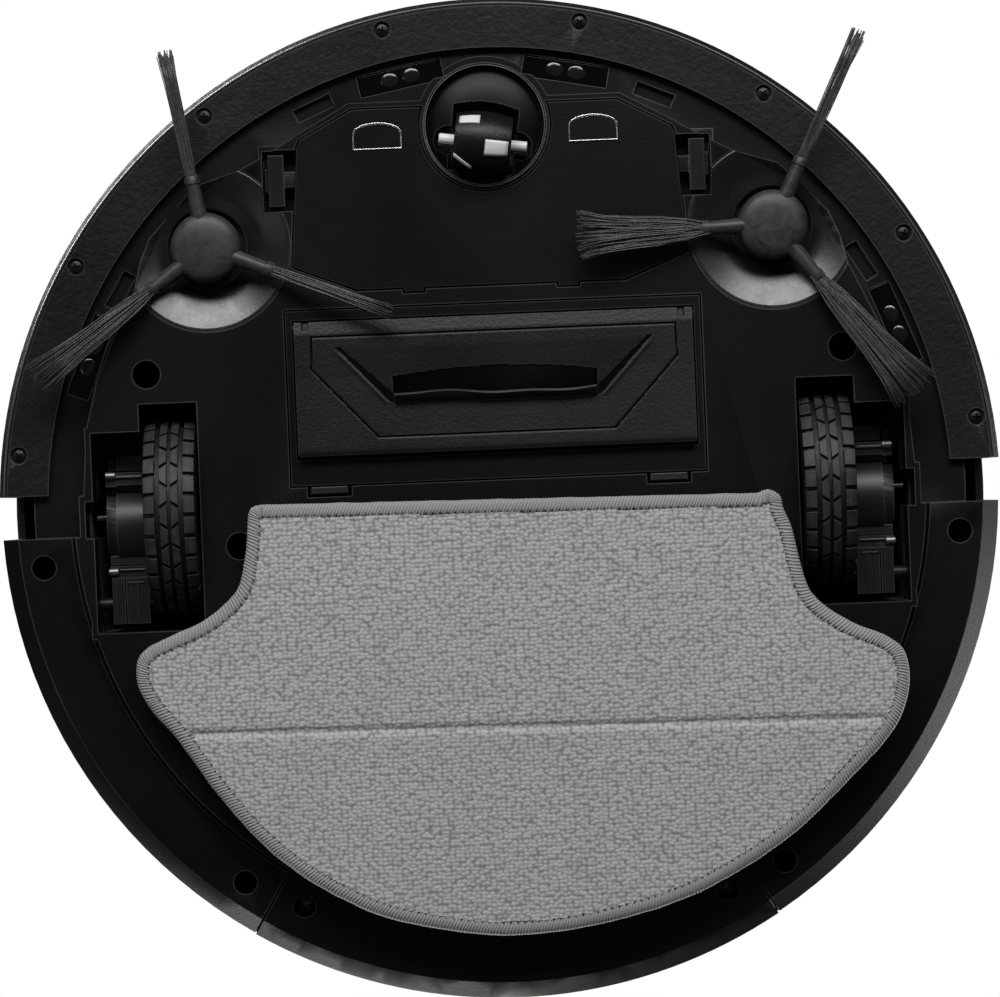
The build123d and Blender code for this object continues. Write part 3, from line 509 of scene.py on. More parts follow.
# Each rib end is a patch of the core let into the tread: where it starts and ends along the barrel, and
# round it, and how far it slants.
RIB_ENDS = ((-7.4, -1.4, 219, 239, 0), (0.8, 7.6, 269, 298, 0), (-8.2, -2.6, 304, 311, 24),
            (-7.4, -1.4, 94, 116, 0), (0.8, 7.6, 34, 56, 0))
for x0, x1, a0, a1, slant in RIB_ENDS:
    patch = bmesh.ops.create_grid(bm, x_segments=6, y_segments=6, size=0.5)["verts"]
    for vert in patch:
        along = x0 + (x1 - x0) * (vert.co.x + 0.5)
        turn = math.radians(a0 + (a1 - a0) * (vert.co.y + 0.5) + slant * (vert.co.x + 0.5))
        r = CASTER_WHEEL_R - 1.35 * (along / 8.5) ** 2 + 0.12
        vert.co = Vector((along, CASTER_TRAIL + r * math.cos(turn), CASTER_WHEEL_R + r * math.sin(turn))) * MM
bmesh.ops.recalc_face_normals(bm, faces=bm.faces)
bmesh.ops.transform(bm, matrix=caster_frame, verts=bm.verts)
ribs = add_piece("caster_rib_ends", bm, acetal, "caster_wheel", "white_plastic")
thick = ribs.modifiers.new("wall", "SOLIDIFY")
thick.thickness, thick.offset = 0.5 * MM, 0.0

# ---------------------------------------------------------------- side brushes
# Each brush is a soft grey rubber hub with three sleeves, each gripping a tuft of black nylon bristles. It
# turns in front of a satin conical dish.
BRUSH_X, BRUSH_Y = 84.5, -78.2

dish_satin, shader, place = new_finish("dish_satin", Specular_IOR_Level=0.65, Coat_Weight=0.3, Coat_Roughness=0.34)
swirl = place.make("TexNoise", inputs={"Vector": place, "Scale": 70.0, "Detail": 5.0, "Distortion": 2.0})
lines = place.make("TexNoise", inputs={"Vector": place, "Scale": 900.0, "Detail": 2.0})
place.make("Mix", {"data_type": "RGBA"}, {0: swirl, 6: grey(0.003), 7: grey(0.010)}, 2).feed(
    shader.inputs["Base Color"])
(swirl * 0.24 + lines * 0.14 + 0.12).feed(shader.inputs["Roughness"])
place.make("Bump", inputs={"Height": lines, "Strength": 0.06, "Distance": 0.0003}).feed(shader.inputs["Normal"])

# The plan corners between which the base drops to its ledge and the dish is cut off.
DISH_EDGE = ((66.8, -104.5), (73.5, -101.0), (87.0, -97.0), (95.0, -89.0), (101.5, -82.0), (104.5, -75.0),
             (106.5, -66.0), (111.5, -55.5))
LATCH_SIDE_X, LATCH_REAR_Y = 67.2, -87.7


def dish(name, side):
    """A shallow cone with a rolled rim, cut off at the ledge and at the latch recess."""
    bm = bmesh.new()
    profile = [(25.0, 12.3), (24.6, 12.18), (24.0, 12.25)]
    profile += [(24.0 - step * 2.0, 12.2 + step * 0.78) for step in range(1, 6)] + [(12.2, 16.9), (12.2, 18.4)]
    chain = [bm.verts.new((r, 0, z)) for r, z in profile]
    line = [bm.edges.new(pair) for pair in zip(chain, chain[1:])]
    bmesh.ops.spin(bm, geom=chain + line, axis=(0, 0, 1), cent=(0, 0, 0), steps=120, angle=math.tau, use_merge=True)
    bmesh.ops.translate(bm, verts=bm.verts, vec=(BRUSH_X, BRUSH_Y, 0))
    for (x0, y0), (x1, y1) in zip(DISH_EDGE, DISH_EDGE[1:]):
        everything = bm.verts[:] + bm.edges[:] + bm.faces[:]
        bmesh.ops.bisect_plane(bm, geom=everything, plane_co=(x0, y0, 0), plane_no=(y1 - y0, x0 - x1, 0),
                               clear_outer=True, dist=0.0001)
    for co, no in (((LATCH_SIDE_X, 0, 0), (1, 0, 0)), ((0, LATCH_REAR_Y, 0), (0, 1, 0))):
        bmesh.ops.bisect_plane(bm, geom=bm.verts[:] + bm.edges[:] + bm.faces[:], plane_co=co, plane_no=no,
                               dist=0.0001)
    latch = [face for face in bm.faces
             if face.calc_center_median().x < LATCH_SIDE_X and face.calc_center_median().y < LATCH_REAR_Y]
    bmesh.ops.delete(bm, geom=latch, context="FACES")
    bmesh.ops.scale(bm, verts=bm.verts, vec=(side * MM, MM, MM))
    bmesh.ops.recalc_face_normals(bm, faces=bm.faces)
    if sum(face.normal.z for face in bm.faces) > 0:
        bmesh.ops.reverse_faces(bm, faces=bm.faces)
    return add_piece(name, bm, dish_satin, "base", "satin_plastic", name.replace("cone", "dish"), smooth=12)


hub_rubber, shader, place = new_finish("hub_rubber", Subsurface_Weight=0.25, Subsurface_Scale=0.002)
marble = place.make("TexNoise", inputs={"Vector": place, "Scale": 160.0, "Detail": 5.0, "Distortion": 2.5})
fleck = place.make("TexNoise", inputs={"Vector": place, "Scale": 1500.0, "Detail": 2.0})
tone = place.make("MapRange", inputs={"Value": marble, "From Min": 0.3, "From Max": 0.7})
place.make("Mix", {"data_type": "RGBA"}, {0: tone, 6: grey(0.019), 7: grey(0.047)}, 2).feed(
    shader.inputs["Base Color"])
(marble * 0.2 + fleck * 0.1 + 0.32).feed(shader.inputs["Roughness"])
place.make("Bump", inputs={"Height": marble * 0.5 + fleck * 0.3, "Strength": 0.2, "Distance": 0.0006}).feed(
    shader.inputs["Normal"])

HUB_PROFILE = ((0, 6.55), (3, 6.6), (5.5, 6.75), (7.5, 7.1), (9.0, 7.7), (9.9, 8.5), (10.35, 9.5), (10.4, 10.6),
               (10.4, 16.0))
SLEEVE_PROFILE = ((7.5, 2.5), (11.0, 2.42), (19.0, 2.05), (19.2, 2.4), (21.2, 2.35), (21.5, 2.1), (21.2, 1.7),
                  (19.4, 1.4))


def brush_hub(name, centre, angles):
    """The moulded hub: a low dome with three tapered sleeves that end in a collar."""
    bm = bmesh.new()
    chain = [bm.verts.new((r, 0, z)) for r, z in HUB_PROFILE]
    line = [bm.edges.new(pair) for pair in zip(chain, chain[1:])]
    bmesh.ops.spin(bm, geom=chain + line, axis=(0, 0, 1), cent=(0, 0, 0), steps=48, angle=math.tau, use_merge=True)
    bmesh.ops.remove_doubles(bm, verts=bm.verts, dist=0.0001)
    for angle in angles:
        before = set(bm.verts)
        chain = [bm.verts.new((along, 0, r)) for along, r in SLEEVE_PROFILE]
        line = [bm.edges.new(pair) for pair in zip(chain, chain[1:])]
        bmesh.ops.spin(bm, geom=chain + line, axis=(1, 0, 0), cent=(0, 0, 0), steps=20, angle=math.tau,
                       use_merge=True)
        place = Matrix.Rotation(math.radians(angle), 4, "Z") @ Matrix.Translation((0, 0, 10.4))
        place = place @ Matrix.Rotation(math.radians(3.0), 4, "Y")
        bmesh.ops.transform(bm, matrix=place, verts=[vert for vert in bm.verts if vert not in before])
    bmesh.ops.translate(bm, verts=bm.verts, vec=centre)
    bmesh.ops.scale(bm, verts=bm.verts, vec=(MM, MM, MM))
    bmesh.ops.recalc_face_normals(bm, faces=bm.faces)
    add_piece(f"brush_dome_{name}", bm, hub_rubber, f"brush_{name}", "hub_rubber", f"brush_hub_{name}", smooth=50)


nylon, shader, place = new_finish("nylon", Specular_IOR_Level=0.7)
tint = place.make("TexNoise", inputs={"Vector": place, "Scale": 800.0, "Detail": 1.0})
place.make("Mix", {"data_type": "RGBA"}, {0: tint, 6: grey(0.035), 7: grey(0.12)}, 2).feed(
    shader.inputs["Base Color"])
(tint * 0.2 + 0.22).feed(shader.inputs["Roughness"])


def strand(bm, points, r):
    """Adds one bristle: a thin three-sided tube through its points."""
    direction = (points[1] - points[0]).normalized()
    turn = direction.to_track_quat("Z", "Y").to_matrix().to_4x4()
    made = bmesh.ops.create_circle(bm, segments=3, radius=r, matrix=Matrix.Translation(points[0]) @ turn)["verts"]
    edges = list({edge for vert in made for edge in vert.link_edges})
    for before, after in zip(points, points[1:]):
        grown = bmesh.ops.extrude_edge_only(bm, edges=edges)["geom"]
        edges = [part for part in grown if isinstance(part, bmesh.types.BMEdge)]
        verts = [part for part in grown if isinstance(part, bmesh.types.BMVert)]
        bmesh.ops.translate(bm, verts=verts, vec=after - before)
    bmesh.ops.edgeloop_fill(bm, edges=edges)


def tuft(bm, draw, centre, angle, reach, spread, clumps, count):
    """One arm's bristles: bunched in clumps that part towards the tips and droop to the floor."""
    turn = Matrix.Rotation(math.radians(angle), 3, "Z")
    for number in range(count):
        clump = number % clumps
        share = (clump + 0.5) / clumps * 2 - 1 if clumps > 1 else 0.0
        root = Vector((19.0, draw.uniform(-1.7, 1.7) * 0.55 + share * 0.85, 8.6 + draw.uniform(-0.9, 0.9)))
        tip_side = share * spread / 2 * 0.8 + draw.gauss(0, spread / clumps * 0.2)
        tip = Vector((reach + draw.uniform(-2.4, 0.6) - 0.05 * abs(tip_side), tip_side, 2.9 + draw.uniform(-0.7, 0.7)))
        bow = draw.gauss(0, 0.28)
        points = []
        for step in range(6):
            t = step / 5
            middle = root.lerp(tip, t)
            middle.y += bow * math.sin(math.pi * t) + (tip.y - root.y) * 0.1 * math.sin(math.tau * t)
            middle.z -= 0.7 * math.sin(math.pi * t)
            points.append((turn @ middle + centre) * MM)
        strand(bm, points, draw.uniform(0.13, 0.19) * MM)


ARMS = {"left": ((-98.9, 58.5, 5.8, 3), (21.9, 59.0, 5.4, 3), (143.8, 63.5, 13.5, 5)),
        "right": ((-64.0, 62.0, 5.8, 3), (52.2, 65.5, 20.0, 7), (178.8, 58.5, 19.0, 7))}
for side, name in ((-1, "left"), (1, "right")):
    dish(f"brush_cone_{name}", side)
    brush_hub(name, Vector((side * BRUSH_X, BRUSH_Y, 0)), [arm[0] for arm in ARMS[name]])
    draw = random.Random(11 + side)
    bm = bmesh.new()
    for angle, reach, spread, clumps in ARMS[name]:
        tuft(bm, draw, Vector((side * BRUSH_X, BRUSH_Y, 0)), angle, reach, spread, clumps, 76)
    add_piece(f"bristle_tufts_{name}", bm, nylon, f"brush_{name}", "bristle", f"brush_bristles_{name}", smooth=180)

# ---------------------------------------------------------------- drive wheels
# Moulded rubber tyres with four rows of tread blocks, two of them cut to chevrons, on hard hubs. Each wheel
# hangs from a two-part gearbox case closed by screws, with its axle's pin showing outboard.
WHEEL_X, WHEEL_Y, WHEEL_R, WHEEL_W = 97.8, 1.0, 30.0, 15.8
TREAD_ROWS = 30
ROW_ARC = math.tau / TREAD_ROWS
TREAD_FLOOR_R = 28.9
# Each column's middle along the axle, its width, its share of a row's length, its chevron slope and its phase.
COLUMNS = ((-5.95, 3.5, 0.84, 0.0, 0.0), (-1.66, 2.4, 0.88, 1.0, 0.5), (1.66, 2.4, 0.88, -1.0, 0.5),
           (5.95, 3.5, 0.84, 0.0, 0.0))

tread_rubber, shader, place = new_finish("tread_rubber", Specular_IOR_Level=0.45)
# Paler and darker streaks stretched along the rolling direction: partly scuff wear, partly a painted highlight on the
# blocks.
wear_and_sheen_streaks = place.make("Mapping", inputs={"Vector": place, "Scale": (2600.0, 240.0, 240.0)})
wear_and_sheen_streaks = place.make("TexNoise", inputs={"Vector": wear_and_sheen_streaks, "Scale": 1.0, "Detail": 3.0})
blotch = place.make("TexNoise", inputs={"Vector": place, "Scale": 260.0, "Detail": 4.0})
from_axle = place.make("VectorMath", {"operation": "MULTIPLY_ADD"}, {0: place, 1: (0, 1, 1), 2: (0, -0.001, -0.030)})
from_axle = place.make("VectorMath", {"operation": "LENGTH"}, {0: from_axle}, "Value")
# Nearer the axle than the block faces, on the tread's floor and the blocks' lower sides, the rubber is painted
# near-black.
tread_face_mask = place.make("MapRange", inputs={"Value": from_axle, "From Min": 0.0291, "From Max": 0.0297})
tone = place.make("MapRange", inputs={"Value": wear_and_sheen_streaks * 0.6 + blotch * 0.4, "From Min": 0.36, "From Max": 0.66})
rubber = place.make("Mix", {"data_type": "RGBA"}, {0: tone, 6: grey(0.012), 7: grey(0.040)}, 2)
place.make("Mix", {"data_type": "RGBA"}, {0: tread_face_mask, 6: grey(0.0015), 7: rubber}, 2).feed(
    shader.inputs["Base Color"])
(blotch * 0.2 + 0.45).feed(shader.inputs["Roughness"])
place.make("Bump", inputs={"Height": wear_and_sheen_streaks * 0.5 + blotch, "Strength": 0.35, "Distance": 0.0005}).feed(
    shader.inputs["Normal"])
drive_satin = grained_plastic("drive_satin", 0.005, 0.011, 0.40, grain=2400, depth=0.06, speckle=0.08)
# The studs are coloured far paler than the case: a painted highlight along the front edges of the case halves.
stud_highlight_satin = grained_plastic("stud_highlight_satin", 0.05, 0.09, 0.36, speckle=0.1)


# The gearbox case's ribs and bosses, and the studs on its front, each a box in x, y and z.
GEARBOX_BLOCKS = ((107.2, 115.4, -17.4, -12.9, 24.6, 31.0), (115.8, 117.8, -16.6, -12.9, 25.4, 31.0),
                  (107.0, 117.6, 12.5, 15.4, 21.6, 30.0), (107.6, 112.6, 20.4, 21.0, 19.1, 20.5),
                  (109.2, 109.6, 21.0, 32.6, 19.1, 20.5), (111.2, 111.6, 21.0, 32.6, 19.1, 20.5),
                  (114.2, 114.6, 20.2, 32.6, 19.5, 20.5), (115.8, 116.2, 20.2, 32.6, 19.5, 20.5))
GEARBOX_STUDS = ((107.2, 115.2, -11.5, -10.7, 19.8, 21.0), (107.2, 115.0, 16.5, 17.1, 19.9, 21.0))


def on_tyre(along, axial, r, centre):
    """The place of a point of the tread, from its angle round the tyre and its distance along the axle."""
    r -= 0.75 * max(0.0, (abs(axial) - 4.4) / 3.5) ** 2
    return Vector((centre.x + axial, centre.y + r * math.cos(along), centre.z + r * math.sin(along))) * MM


for side, name in ((-1, "left"), (1, "right")):
    centre = Vector((side * WHEEL_X, WHEEL_Y, WHEEL_R))
    bm = bmesh.new()
    half = WHEEL_W / 2
    profile = ((21.0, -half + 0.2), (26.6, -half), (28.0, -half + 0.5), (28.7, -half + 2.2), (TREAD_FLOOR_R, 0),
               (28.7, half - 2.2), (28.0, half - 0.5), (26.6, half), (21.0, half - 0.2))
    chain = [bm.verts.new((axial * MM, 0, r * MM)) for r, axial in profile]
    loop = [bm.edges.new(pair) for pair in zip(chain, chain[1:] + chain[:1])]
    bmesh.ops.spin(bm, geom=chain + loop, axis=(1, 0, 0), cent=(0, 0, 0), steps=90, angle=math.tau,
                   use_merge=True)
    bmesh.ops.translate(bm, verts=bm.verts, vec=centre * MM)
    for axial, width, length, slope, phase in COLUMNS:
        for row in range(TREAD_ROWS):
            flat = bmesh.ops.create_grid(bm, x_segments=1, y_segments=2, size=0.5)["verts"]
            faces = list({face for vert in flat for face in vert.link_faces})
            grown = bmesh.ops.extrude_face_region(bm, geom=faces)["geom"]
            top = [part for part in grown if isinstance(part, bmesh.types.BMVert)]
            bmesh.ops.delete(bm, geom=faces, context="FACES_ONLY")
            bend = slope * (1 if row % 2 else -1) * 0.13
            for vert in flat + top:
                shrink = 0.94 if vert in top else 1.0
                across, along = vert.co.x * shrink, vert.co.y * shrink * length
                angle = (row + phase + along + (across * 2 * bend if vert.co.y < 0 else -across * 2 * bend)) * ROW_ARC
                r = WHEEL_R if vert in top else TREAD_FLOOR_R - 0.6
                vert.co = on_tyre(angle, axial + across * width, r, centre)
    bmesh.ops.recalc_face_normals(bm, faces=bm.faces)
    tyre = add_piece(f"tyre_tread_{name}", bm, tread_rubber, f"wheel_{name}", "tread_rubber", f"tyre_{name}")
    edge_bevel(tyre, 0.16, 2)
    moulded(f"wheel_hub_{name}", drive_satin, "drive_plastic", body=f"wheel_{name}", width=0.3)
    moulded(f"wheel_axle_{name}", zinc, "steel", body=f"wheel_{name}", width=0.3)
    moulded(f"gearbox_{name}", drive_satin, "drive_plastic", body=f"drive_{name}", width=0.3)
    moulded(f"gearbox_screws_{name}", zinc, "steel", body=f"drive_{name}", width=0.5, segments=3)
    moulded(f"drive_motor_{name}", steel, "steel", body=f"drive_{name}", width=0.3)
    for part, material, places in (("cover", drive_satin, GEARBOX_BLOCKS), ("studs", stud_highlight_satin, GEARBOX_STUDS)):
        bm = bmesh.new()
        for x0, x1, y0, y1, z0, z1 in places:
            shape = bmesh.ops.create_cube(bm, size=1.0)["verts"]
            bmesh.ops.scale(bm, verts=shape, vec=(x1 - x0, y1 - y0, z1 - z0))
            bmesh.ops.translate(bm, verts=shape, vec=(side * (x0 + x1) / 2, (y0 + y1) / 2, (z0 + z1) / 2))
        bmesh.ops.scale(bm, verts=bm.verts, vec=(MM, MM, MM))
        box = add_piece(f"gearbox_{part}_{name}", bm, material, f"drive_{name}", "drive_plastic")
        edge_bevel(box, 0.35, 3)

# ---------------------------------------------------------------- suction head
# A snap-in frame holds a floating sled plate of lighter grained plastic. The plate has a bright front
# ramp, an engraved outline, two folds that lead to the arched mouth, and a soft rubber lip behind it.
HEAD_X, HEAD_FRONT, HEAD_REAR = 59.3, -54.7, -14.7
MOUTH_X, MOUTH_REAR = 30.4, -31.4
GROOVE = ((-54.2, -50.1), (54.2, -50.1), (54.4, -40.5), (35.2, -19.7), (-35.2, -19.7), (-54.4, -40.5))
SKIN_CELL = 0.32

sled_black = grained_plastic("sled_black", 0.0065, 0.014, 0.46, grain=1100, depth=0.35, speckle=0.5, edge_highlight=0.04,
                             Specular_IOR_Level=0.3)
# Painted shade: the engraved outline and the fold walls get a near-black colour, standing for the shade in them.
groove_and_fold_shade, shader, place = new_finish("groove_and_fold_shade", Specular_IOR_Level=0.05)
groove_shade_mottle = place.make("TexNoise", inputs={"Vector": place, "Scale": 500.0, "Detail": 3.0})
place.make("Mix", {"data_type": "RGBA"}, {0: groove_shade_mottle, 6: grey(0.0008), 7: grey(0.003)}, 2).feed(
    shader.inputs["Base Color"])
(groove_shade_mottle * 0.2 + 0.75).feed(shader.inputs["Roughness"])
moulded("suction_frame", cover_black, "body_plastic", body="suction_frame")


def near_line(x, y, a, b):
    """The distance from a point to the run between two corners."""
    run = Vector(b) - Vector(a)
    t = max(0.0, min(1.0, (Vector((x, y)) - Vector(a)).dot(run) / run.length_squared))
    return (Vector((x, y)) - Vector(a) - run * t).length


def smooth(t):
    """An eased step from 0 to 1."""
    t = max(0.0, min(1.0, t))
    return t * t * (3 - 2 * t)


def sled_height(x, y):
    """How high the sled's face stands above the floor."""
    if y < -51.0:
        z = 9.8 + (y + 51.0) * -0.24
    elif y < -38.0:
        z = 9.8 - 0.2 * (y + 51.0) / 13.0
    else:
        z = 9.6 - 1.0 * min(1.0, (y + 38.0) / 21.0)
    z += 0.5 * smooth((y + 16.0) / 1.6)
    gap = min(near_line(x, y, GROOVE[i - 1], GROOVE[i]) for i in range(len(GROOVE)))
    z += 0.5 * (1 - smooth(gap / 0.34))
    fold = abs(x) - (31.4 - 0.94 * (y + 30.4))
    run = (y + 47.5) / 17.0
    if 0.0 < run and y < -29.5:
        depth = 1.9 * run ** 1.3
        z += depth * (1 - smooth((fold + 0.6 + 1.6 * run) / (0.7 + 2.2 * run))) * smooth((y + 47.5) / 3.0)
        z -= 0.35 * math.exp(-((fold - 1.3) / 0.8) ** 2) * smooth(run * 3)
    if abs(abs(x) - 56.0) < 1.0 and y < -52.2:
        z += 2.4
    return z


bm = bmesh.new()
cells_x, cells_y = round(2 * HEAD_X / SKIN_CELL), round((HEAD_REAR - HEAD_FRONT) / SKIN_CELL)
bmesh.ops.create_grid(bm, x_segments=cells_x, y_segments=cells_y, size=0.5)
for vert in bm.verts:
    vert.co.x *= 2 * HEAD_X
    vert.co.y = HEAD_FRONT + (vert.co.y + 0.5) * (HEAD_REAR - HEAD_FRONT)
inside = [vert for vert in bm.verts if abs(vert.co.x) < MOUTH_X
          and -39.7 + 2.2 * (vert.co.x / MOUTH_X) ** 2 < vert.co.y < MOUTH_REAR]
bmesh.ops.delete(bm, geom=inside, context="VERTS")
for vert in bm.verts:
    vert.co.z = sled_height(vert.co.x, vert.co.y)
rim = [edge for edge in bm.edges if edge.is_boundary]
grown = bmesh.ops.extrude_edge_only(bm, edges=rim)["geom"]
for vert in (part for part in grown if isinstance(part, bmesh.types.BMVert)):
    vert.co.z = 17.0 if abs(vert.co.x) < 33 and -42 < vert.co.y < -29 else 13.0
bmesh.ops.scale(bm, verts=bm.verts, vec=(MM, MM, MM))
bmesh.ops.recalc_face_normals(bm, faces=bm.faces)
# Faces on the engraved outline and on the fold walls take the second material, the painted shade.
for face in bm.faces:
    middle = face.calc_center_median() / MM
    gap = min(near_line(middle.x, middle.y, GROOVE[i - 1], GROOVE[i]) for i in range(len(GROOVE)))
    fold = abs(middle.x) - (31.4 - 0.94 * (middle.y + 30.4))
    run = (middle.y + 47.0) / 17.0
    in_fold = 0 < run and middle.y < -30 and -1.2 - 2.2 * run < fold < 0.25
    face.material_index = 1 if gap < 0.3 or in_fold else 0
sled_face = add_piece("sled_face", bm, sled_black, "suction_head", "sled_plastic", smooth=42)
sled_face.data.materials.append(groove_and_fold_shade)
bm = cad_copy("suction_head")
for vert in bm.verts:
    if vert.co.z < 0.0121:
        vert.co.z = max(vert.co.z, 0.0094) + 0.0022
add_piece("sled_back", bm, sled_black, "suction_head", "sled_plastic", "suction_head")

clip_grey = grained_plastic("clip_grey", 0.012, 0.02, 0.40, speckle=0.1, edge_highlight=0.12)
bm = bmesh.new()
for side in (-1, 1):
    clip = bmesh.ops.create_cube(bm, size=1.0)["verts"]
    bmesh.ops.scale(bm, verts=clip, vec=(10.8, 2.1, 1.2))
    bmesh.ops.translate(bm, verts=clip, vec=(side * 50.6, -4.6, 12.9))
bmesh.ops.scale(bm, verts=bm.verts, vec=(MM, MM, MM))
clips = add_piece("frame_clips", bm, clip_grey, "suction_frame", "sled_plastic")
edge_bevel(clips, 0.3, 3)

lip_rubber = grained_plastic("lip_rubber", 0.004, 0.009, 0.5, grain=900, depth=0.15, speckle=0.2, edge_highlight=0.12)
bm = bmesh.new()
bmesh.ops.create_grid(bm, x_segments=120, y_segments=10, size=0.5)
for vert in bm.verts:
    x, t = vert.co.x * 60.0, 0.5 - vert.co.y
    wave = 0.55 * math.sin(x * 0.105 + 0.4) + 0.3 * math.sin(x * 0.26 + 2.0)
    vert.co = Vector((x, -29.9 - 2.1 * t + (wave - 0.2) * t ** 1.5, 9.6 - 3.7 * t - 0.5 * math.sin(math.pi * t)))
bmesh.ops.scale(bm, verts=bm.verts, vec=(MM, MM, MM))
bmesh.ops.recalc_face_normals(bm, faces=bm.faces)
lip = add_piece("mouth_lip", bm, lip_rubber, "suction_head", "soft_rubber", "suction_lip", smooth=60)
thick = lip.modifiers.new("wall", "SOLIDIFY")
thick.thickness, thick.offset = 0.8 * MM, 0.0
edge_bevel(lip, 0.15, 2)

# ---------------------------------------------------------------- dust bin
# A box of black ABS whose rear wall carries on the body's outline, with a lid, a pleated filter and a push
# button that frees it.
bin_black = grained_plastic("bin_black", 0.0018, 0.0042, 0.46, speckle=0.12, edge_highlight=0.12, Specular_IOR_Level=0.2)
moulded("dust_bin", bin_black, "body_plastic", body="dust_bin")
moulded("bin_lid", casing_black, "body_plastic", body="dust_bin")
# A near-black strip fills the seam where the bin's rear wall meets the body's skirt on each side: a dark sheet standing
# for the shade in the seam.
SEAM_SHADE_ENDS = ((73.6, 118.9), (78.3, 126.8))
seam_shade, shader, place = new_finish("seam_shade", Roughness=0.95, Specular_IOR_Level=0.1)
seam_shade_mottle = place.make("TexNoise", inputs={"Vector": place, "Scale": 900.0, "Detail": 4.0})
place.make("Mix", {"data_type": "RGBA"}, {0: seam_shade_mottle, 6: grey(0.001), 7: grey(0.006)}, 2).feed(
    shader.inputs["Base Color"])
bm = bmesh.new()
for side in (-1, 1):
    strip = bmesh.ops.create_cube(bm, size=1.0)["verts"]
    for vert in strip:
        along, across, up = vert.co.x + 0.5, vert.co.y * 0.45, vert.co.z + 0.5
        (x0, y0), (x1, y1) = SEAM_SHADE_ENDS
        run = Vector((x1 - x0, y1 - y0)).normalized()
        vert.co = Vector((side * (x0 + (x1 - x0) * along + run.y * across), y0 + (y1 - y0) * along - run.x * across,
                          20.0 + 36.0 * up)) * MM
bmesh.ops.recalc_face_normals(bm, faces=bm.faces)
add_piece("bin_seam_shade", bm, seam_shade, "base", "soft_rubber")
button_satin = grained_plastic("button_satin", 0.02, 0.035, 0.3, speckle=0.05)
moulded("bin_release_button", button_satin, "satin_plastic", body="bin_release_button", width=0.4, segments=3)
filter_paper, shader, place = new_finish("filter_paper", Roughness=0.9)
# The pleats' colour goes paler and darker with the same wave as their bump: painted shade on the pleat folds.
pleat = place.make("TexWave", {"bands_direction": "Z"}, {"Vector": place, "Scale": 150.0})
place.make("Mix", {"data_type": "RGBA"}, {0: pleat, 6: grey(0.45), 7: grey(0.8)}, 2).feed(
    shader.inputs["Base Color"])
place.make("Bump", inputs={"Height": pleat, "Strength": 0.8, "Distance": 0.001}).feed(shader.inputs["Normal"])
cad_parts["bin_filter"].data.materials.clear()
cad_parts["bin_filter"].data.materials.append(filter_paper)

# ---------------------------------------------------------------- mop
# A microfibre terry cloth, laid flat on a plate and held by hook tape, with a folded and overlocked hem. A
# pressed crease from packing runs across it.
CLOTH = ((-70.5, -1.0), (76.0, 1.5), (79.4, 0.6), (82.8, 2.6), (83.7, 6.5), (86, 13), (89, 27), (93, 34), (102, 40.5), (113, 45.5), (118, 51), (118.5, 61),
         (113.5, 73), (100, 87), (84, 101.5), (66, 113), (48, 121), (24, 127), (0, 129.2), (-20, 127),
         (-41, 121.5), (-61, 110.5), (-75.5, 98), (-88, 82.5), (-97, 69), (-107, 56), (-109.5, 47),
         (-106, 40), (-89, 32.5), (-79, 24), (-76, 14), (-75.0, 6), (-74.5, 1.6), (-73.2, -0.4))
CREASE = ((-97.9, 65.9), (110.5, 69.4))
TERRY_CELL = 0.5
LOOP_PITCH = 1.5
HEM_W = 4.7


def rounded_outline(corners, spacing):
    """Evenly spaced points on a smooth closed curve through the corners, except at the first two, which stay sharp."""
    points = []
    count = len(corners)
    for i in range(count):
        before, a, b, after = (Vector(corners[(i + k) % count]) for k in (-1, 0, 1, 2))
        slope_a = (b - before) / 2 if i > 1 else (b - a)
        slope_b = (after - a) / 2 if (i + 1) % count > 1 else (b - a)
        steps = max(2, round((b - a).length / spacing))
        for step in range(steps):
            t = step / steps
            points.append(a * (2 * t ** 3 - 3 * t ** 2 + 1) + slope_a * (t ** 3 - 2 * t ** 2 + t)
                          + b * (3 * t ** 2 - 2 * t ** 3) + slope_b * (t ** 3 - t ** 2))
    return points


hem_line = rounded_outline(CLOTH, 0.32)
inward = []
for i, point in enumerate(hem_line):
    ahead, behind = hem_line[(i + 4) % len(hem_line)], hem_line[i - 4]
    run = (ahead - behind).normalized()
    inward.append(Vector((-run.y, run.x)))
tree = KDTree(len(hem_line))
for i, point in enumerate(hem_line):
    tree.insert((point.x, point.y, 0), i)
tree.balance()


def depth_inside(x, y):
    """How far a point lies inside the cloth's outline."""
    place, i, distance = tree.find((x, y, 0))
    return (Vector((x, y)) - hem_line[i]).dot(inward[i])


def loop_relief(x, y):
    """How far the terry stands out at a point, from 0 in a pit to 1 on top of a loop."""
    row = y / (LOOP_PITCH * 0.88)
    spot = Vector((x / LOOP_PITCH + 0.5 * (math.floor(row) % 2), row, 0))
    spot += noise.noise_vector(Vector((x * 0.25, y * 0.25, 3.0))) * 0.32
    near = noise.voronoi(spot * 1.08)[0]
    blob = math.sqrt(max(0.0, 1 - (near[0] / 0.95) ** 2))
    ridge = min(1.0, (near[1] - near[0]) * 4.5)
    return blob * (0.5 + 0.5 * ridge)


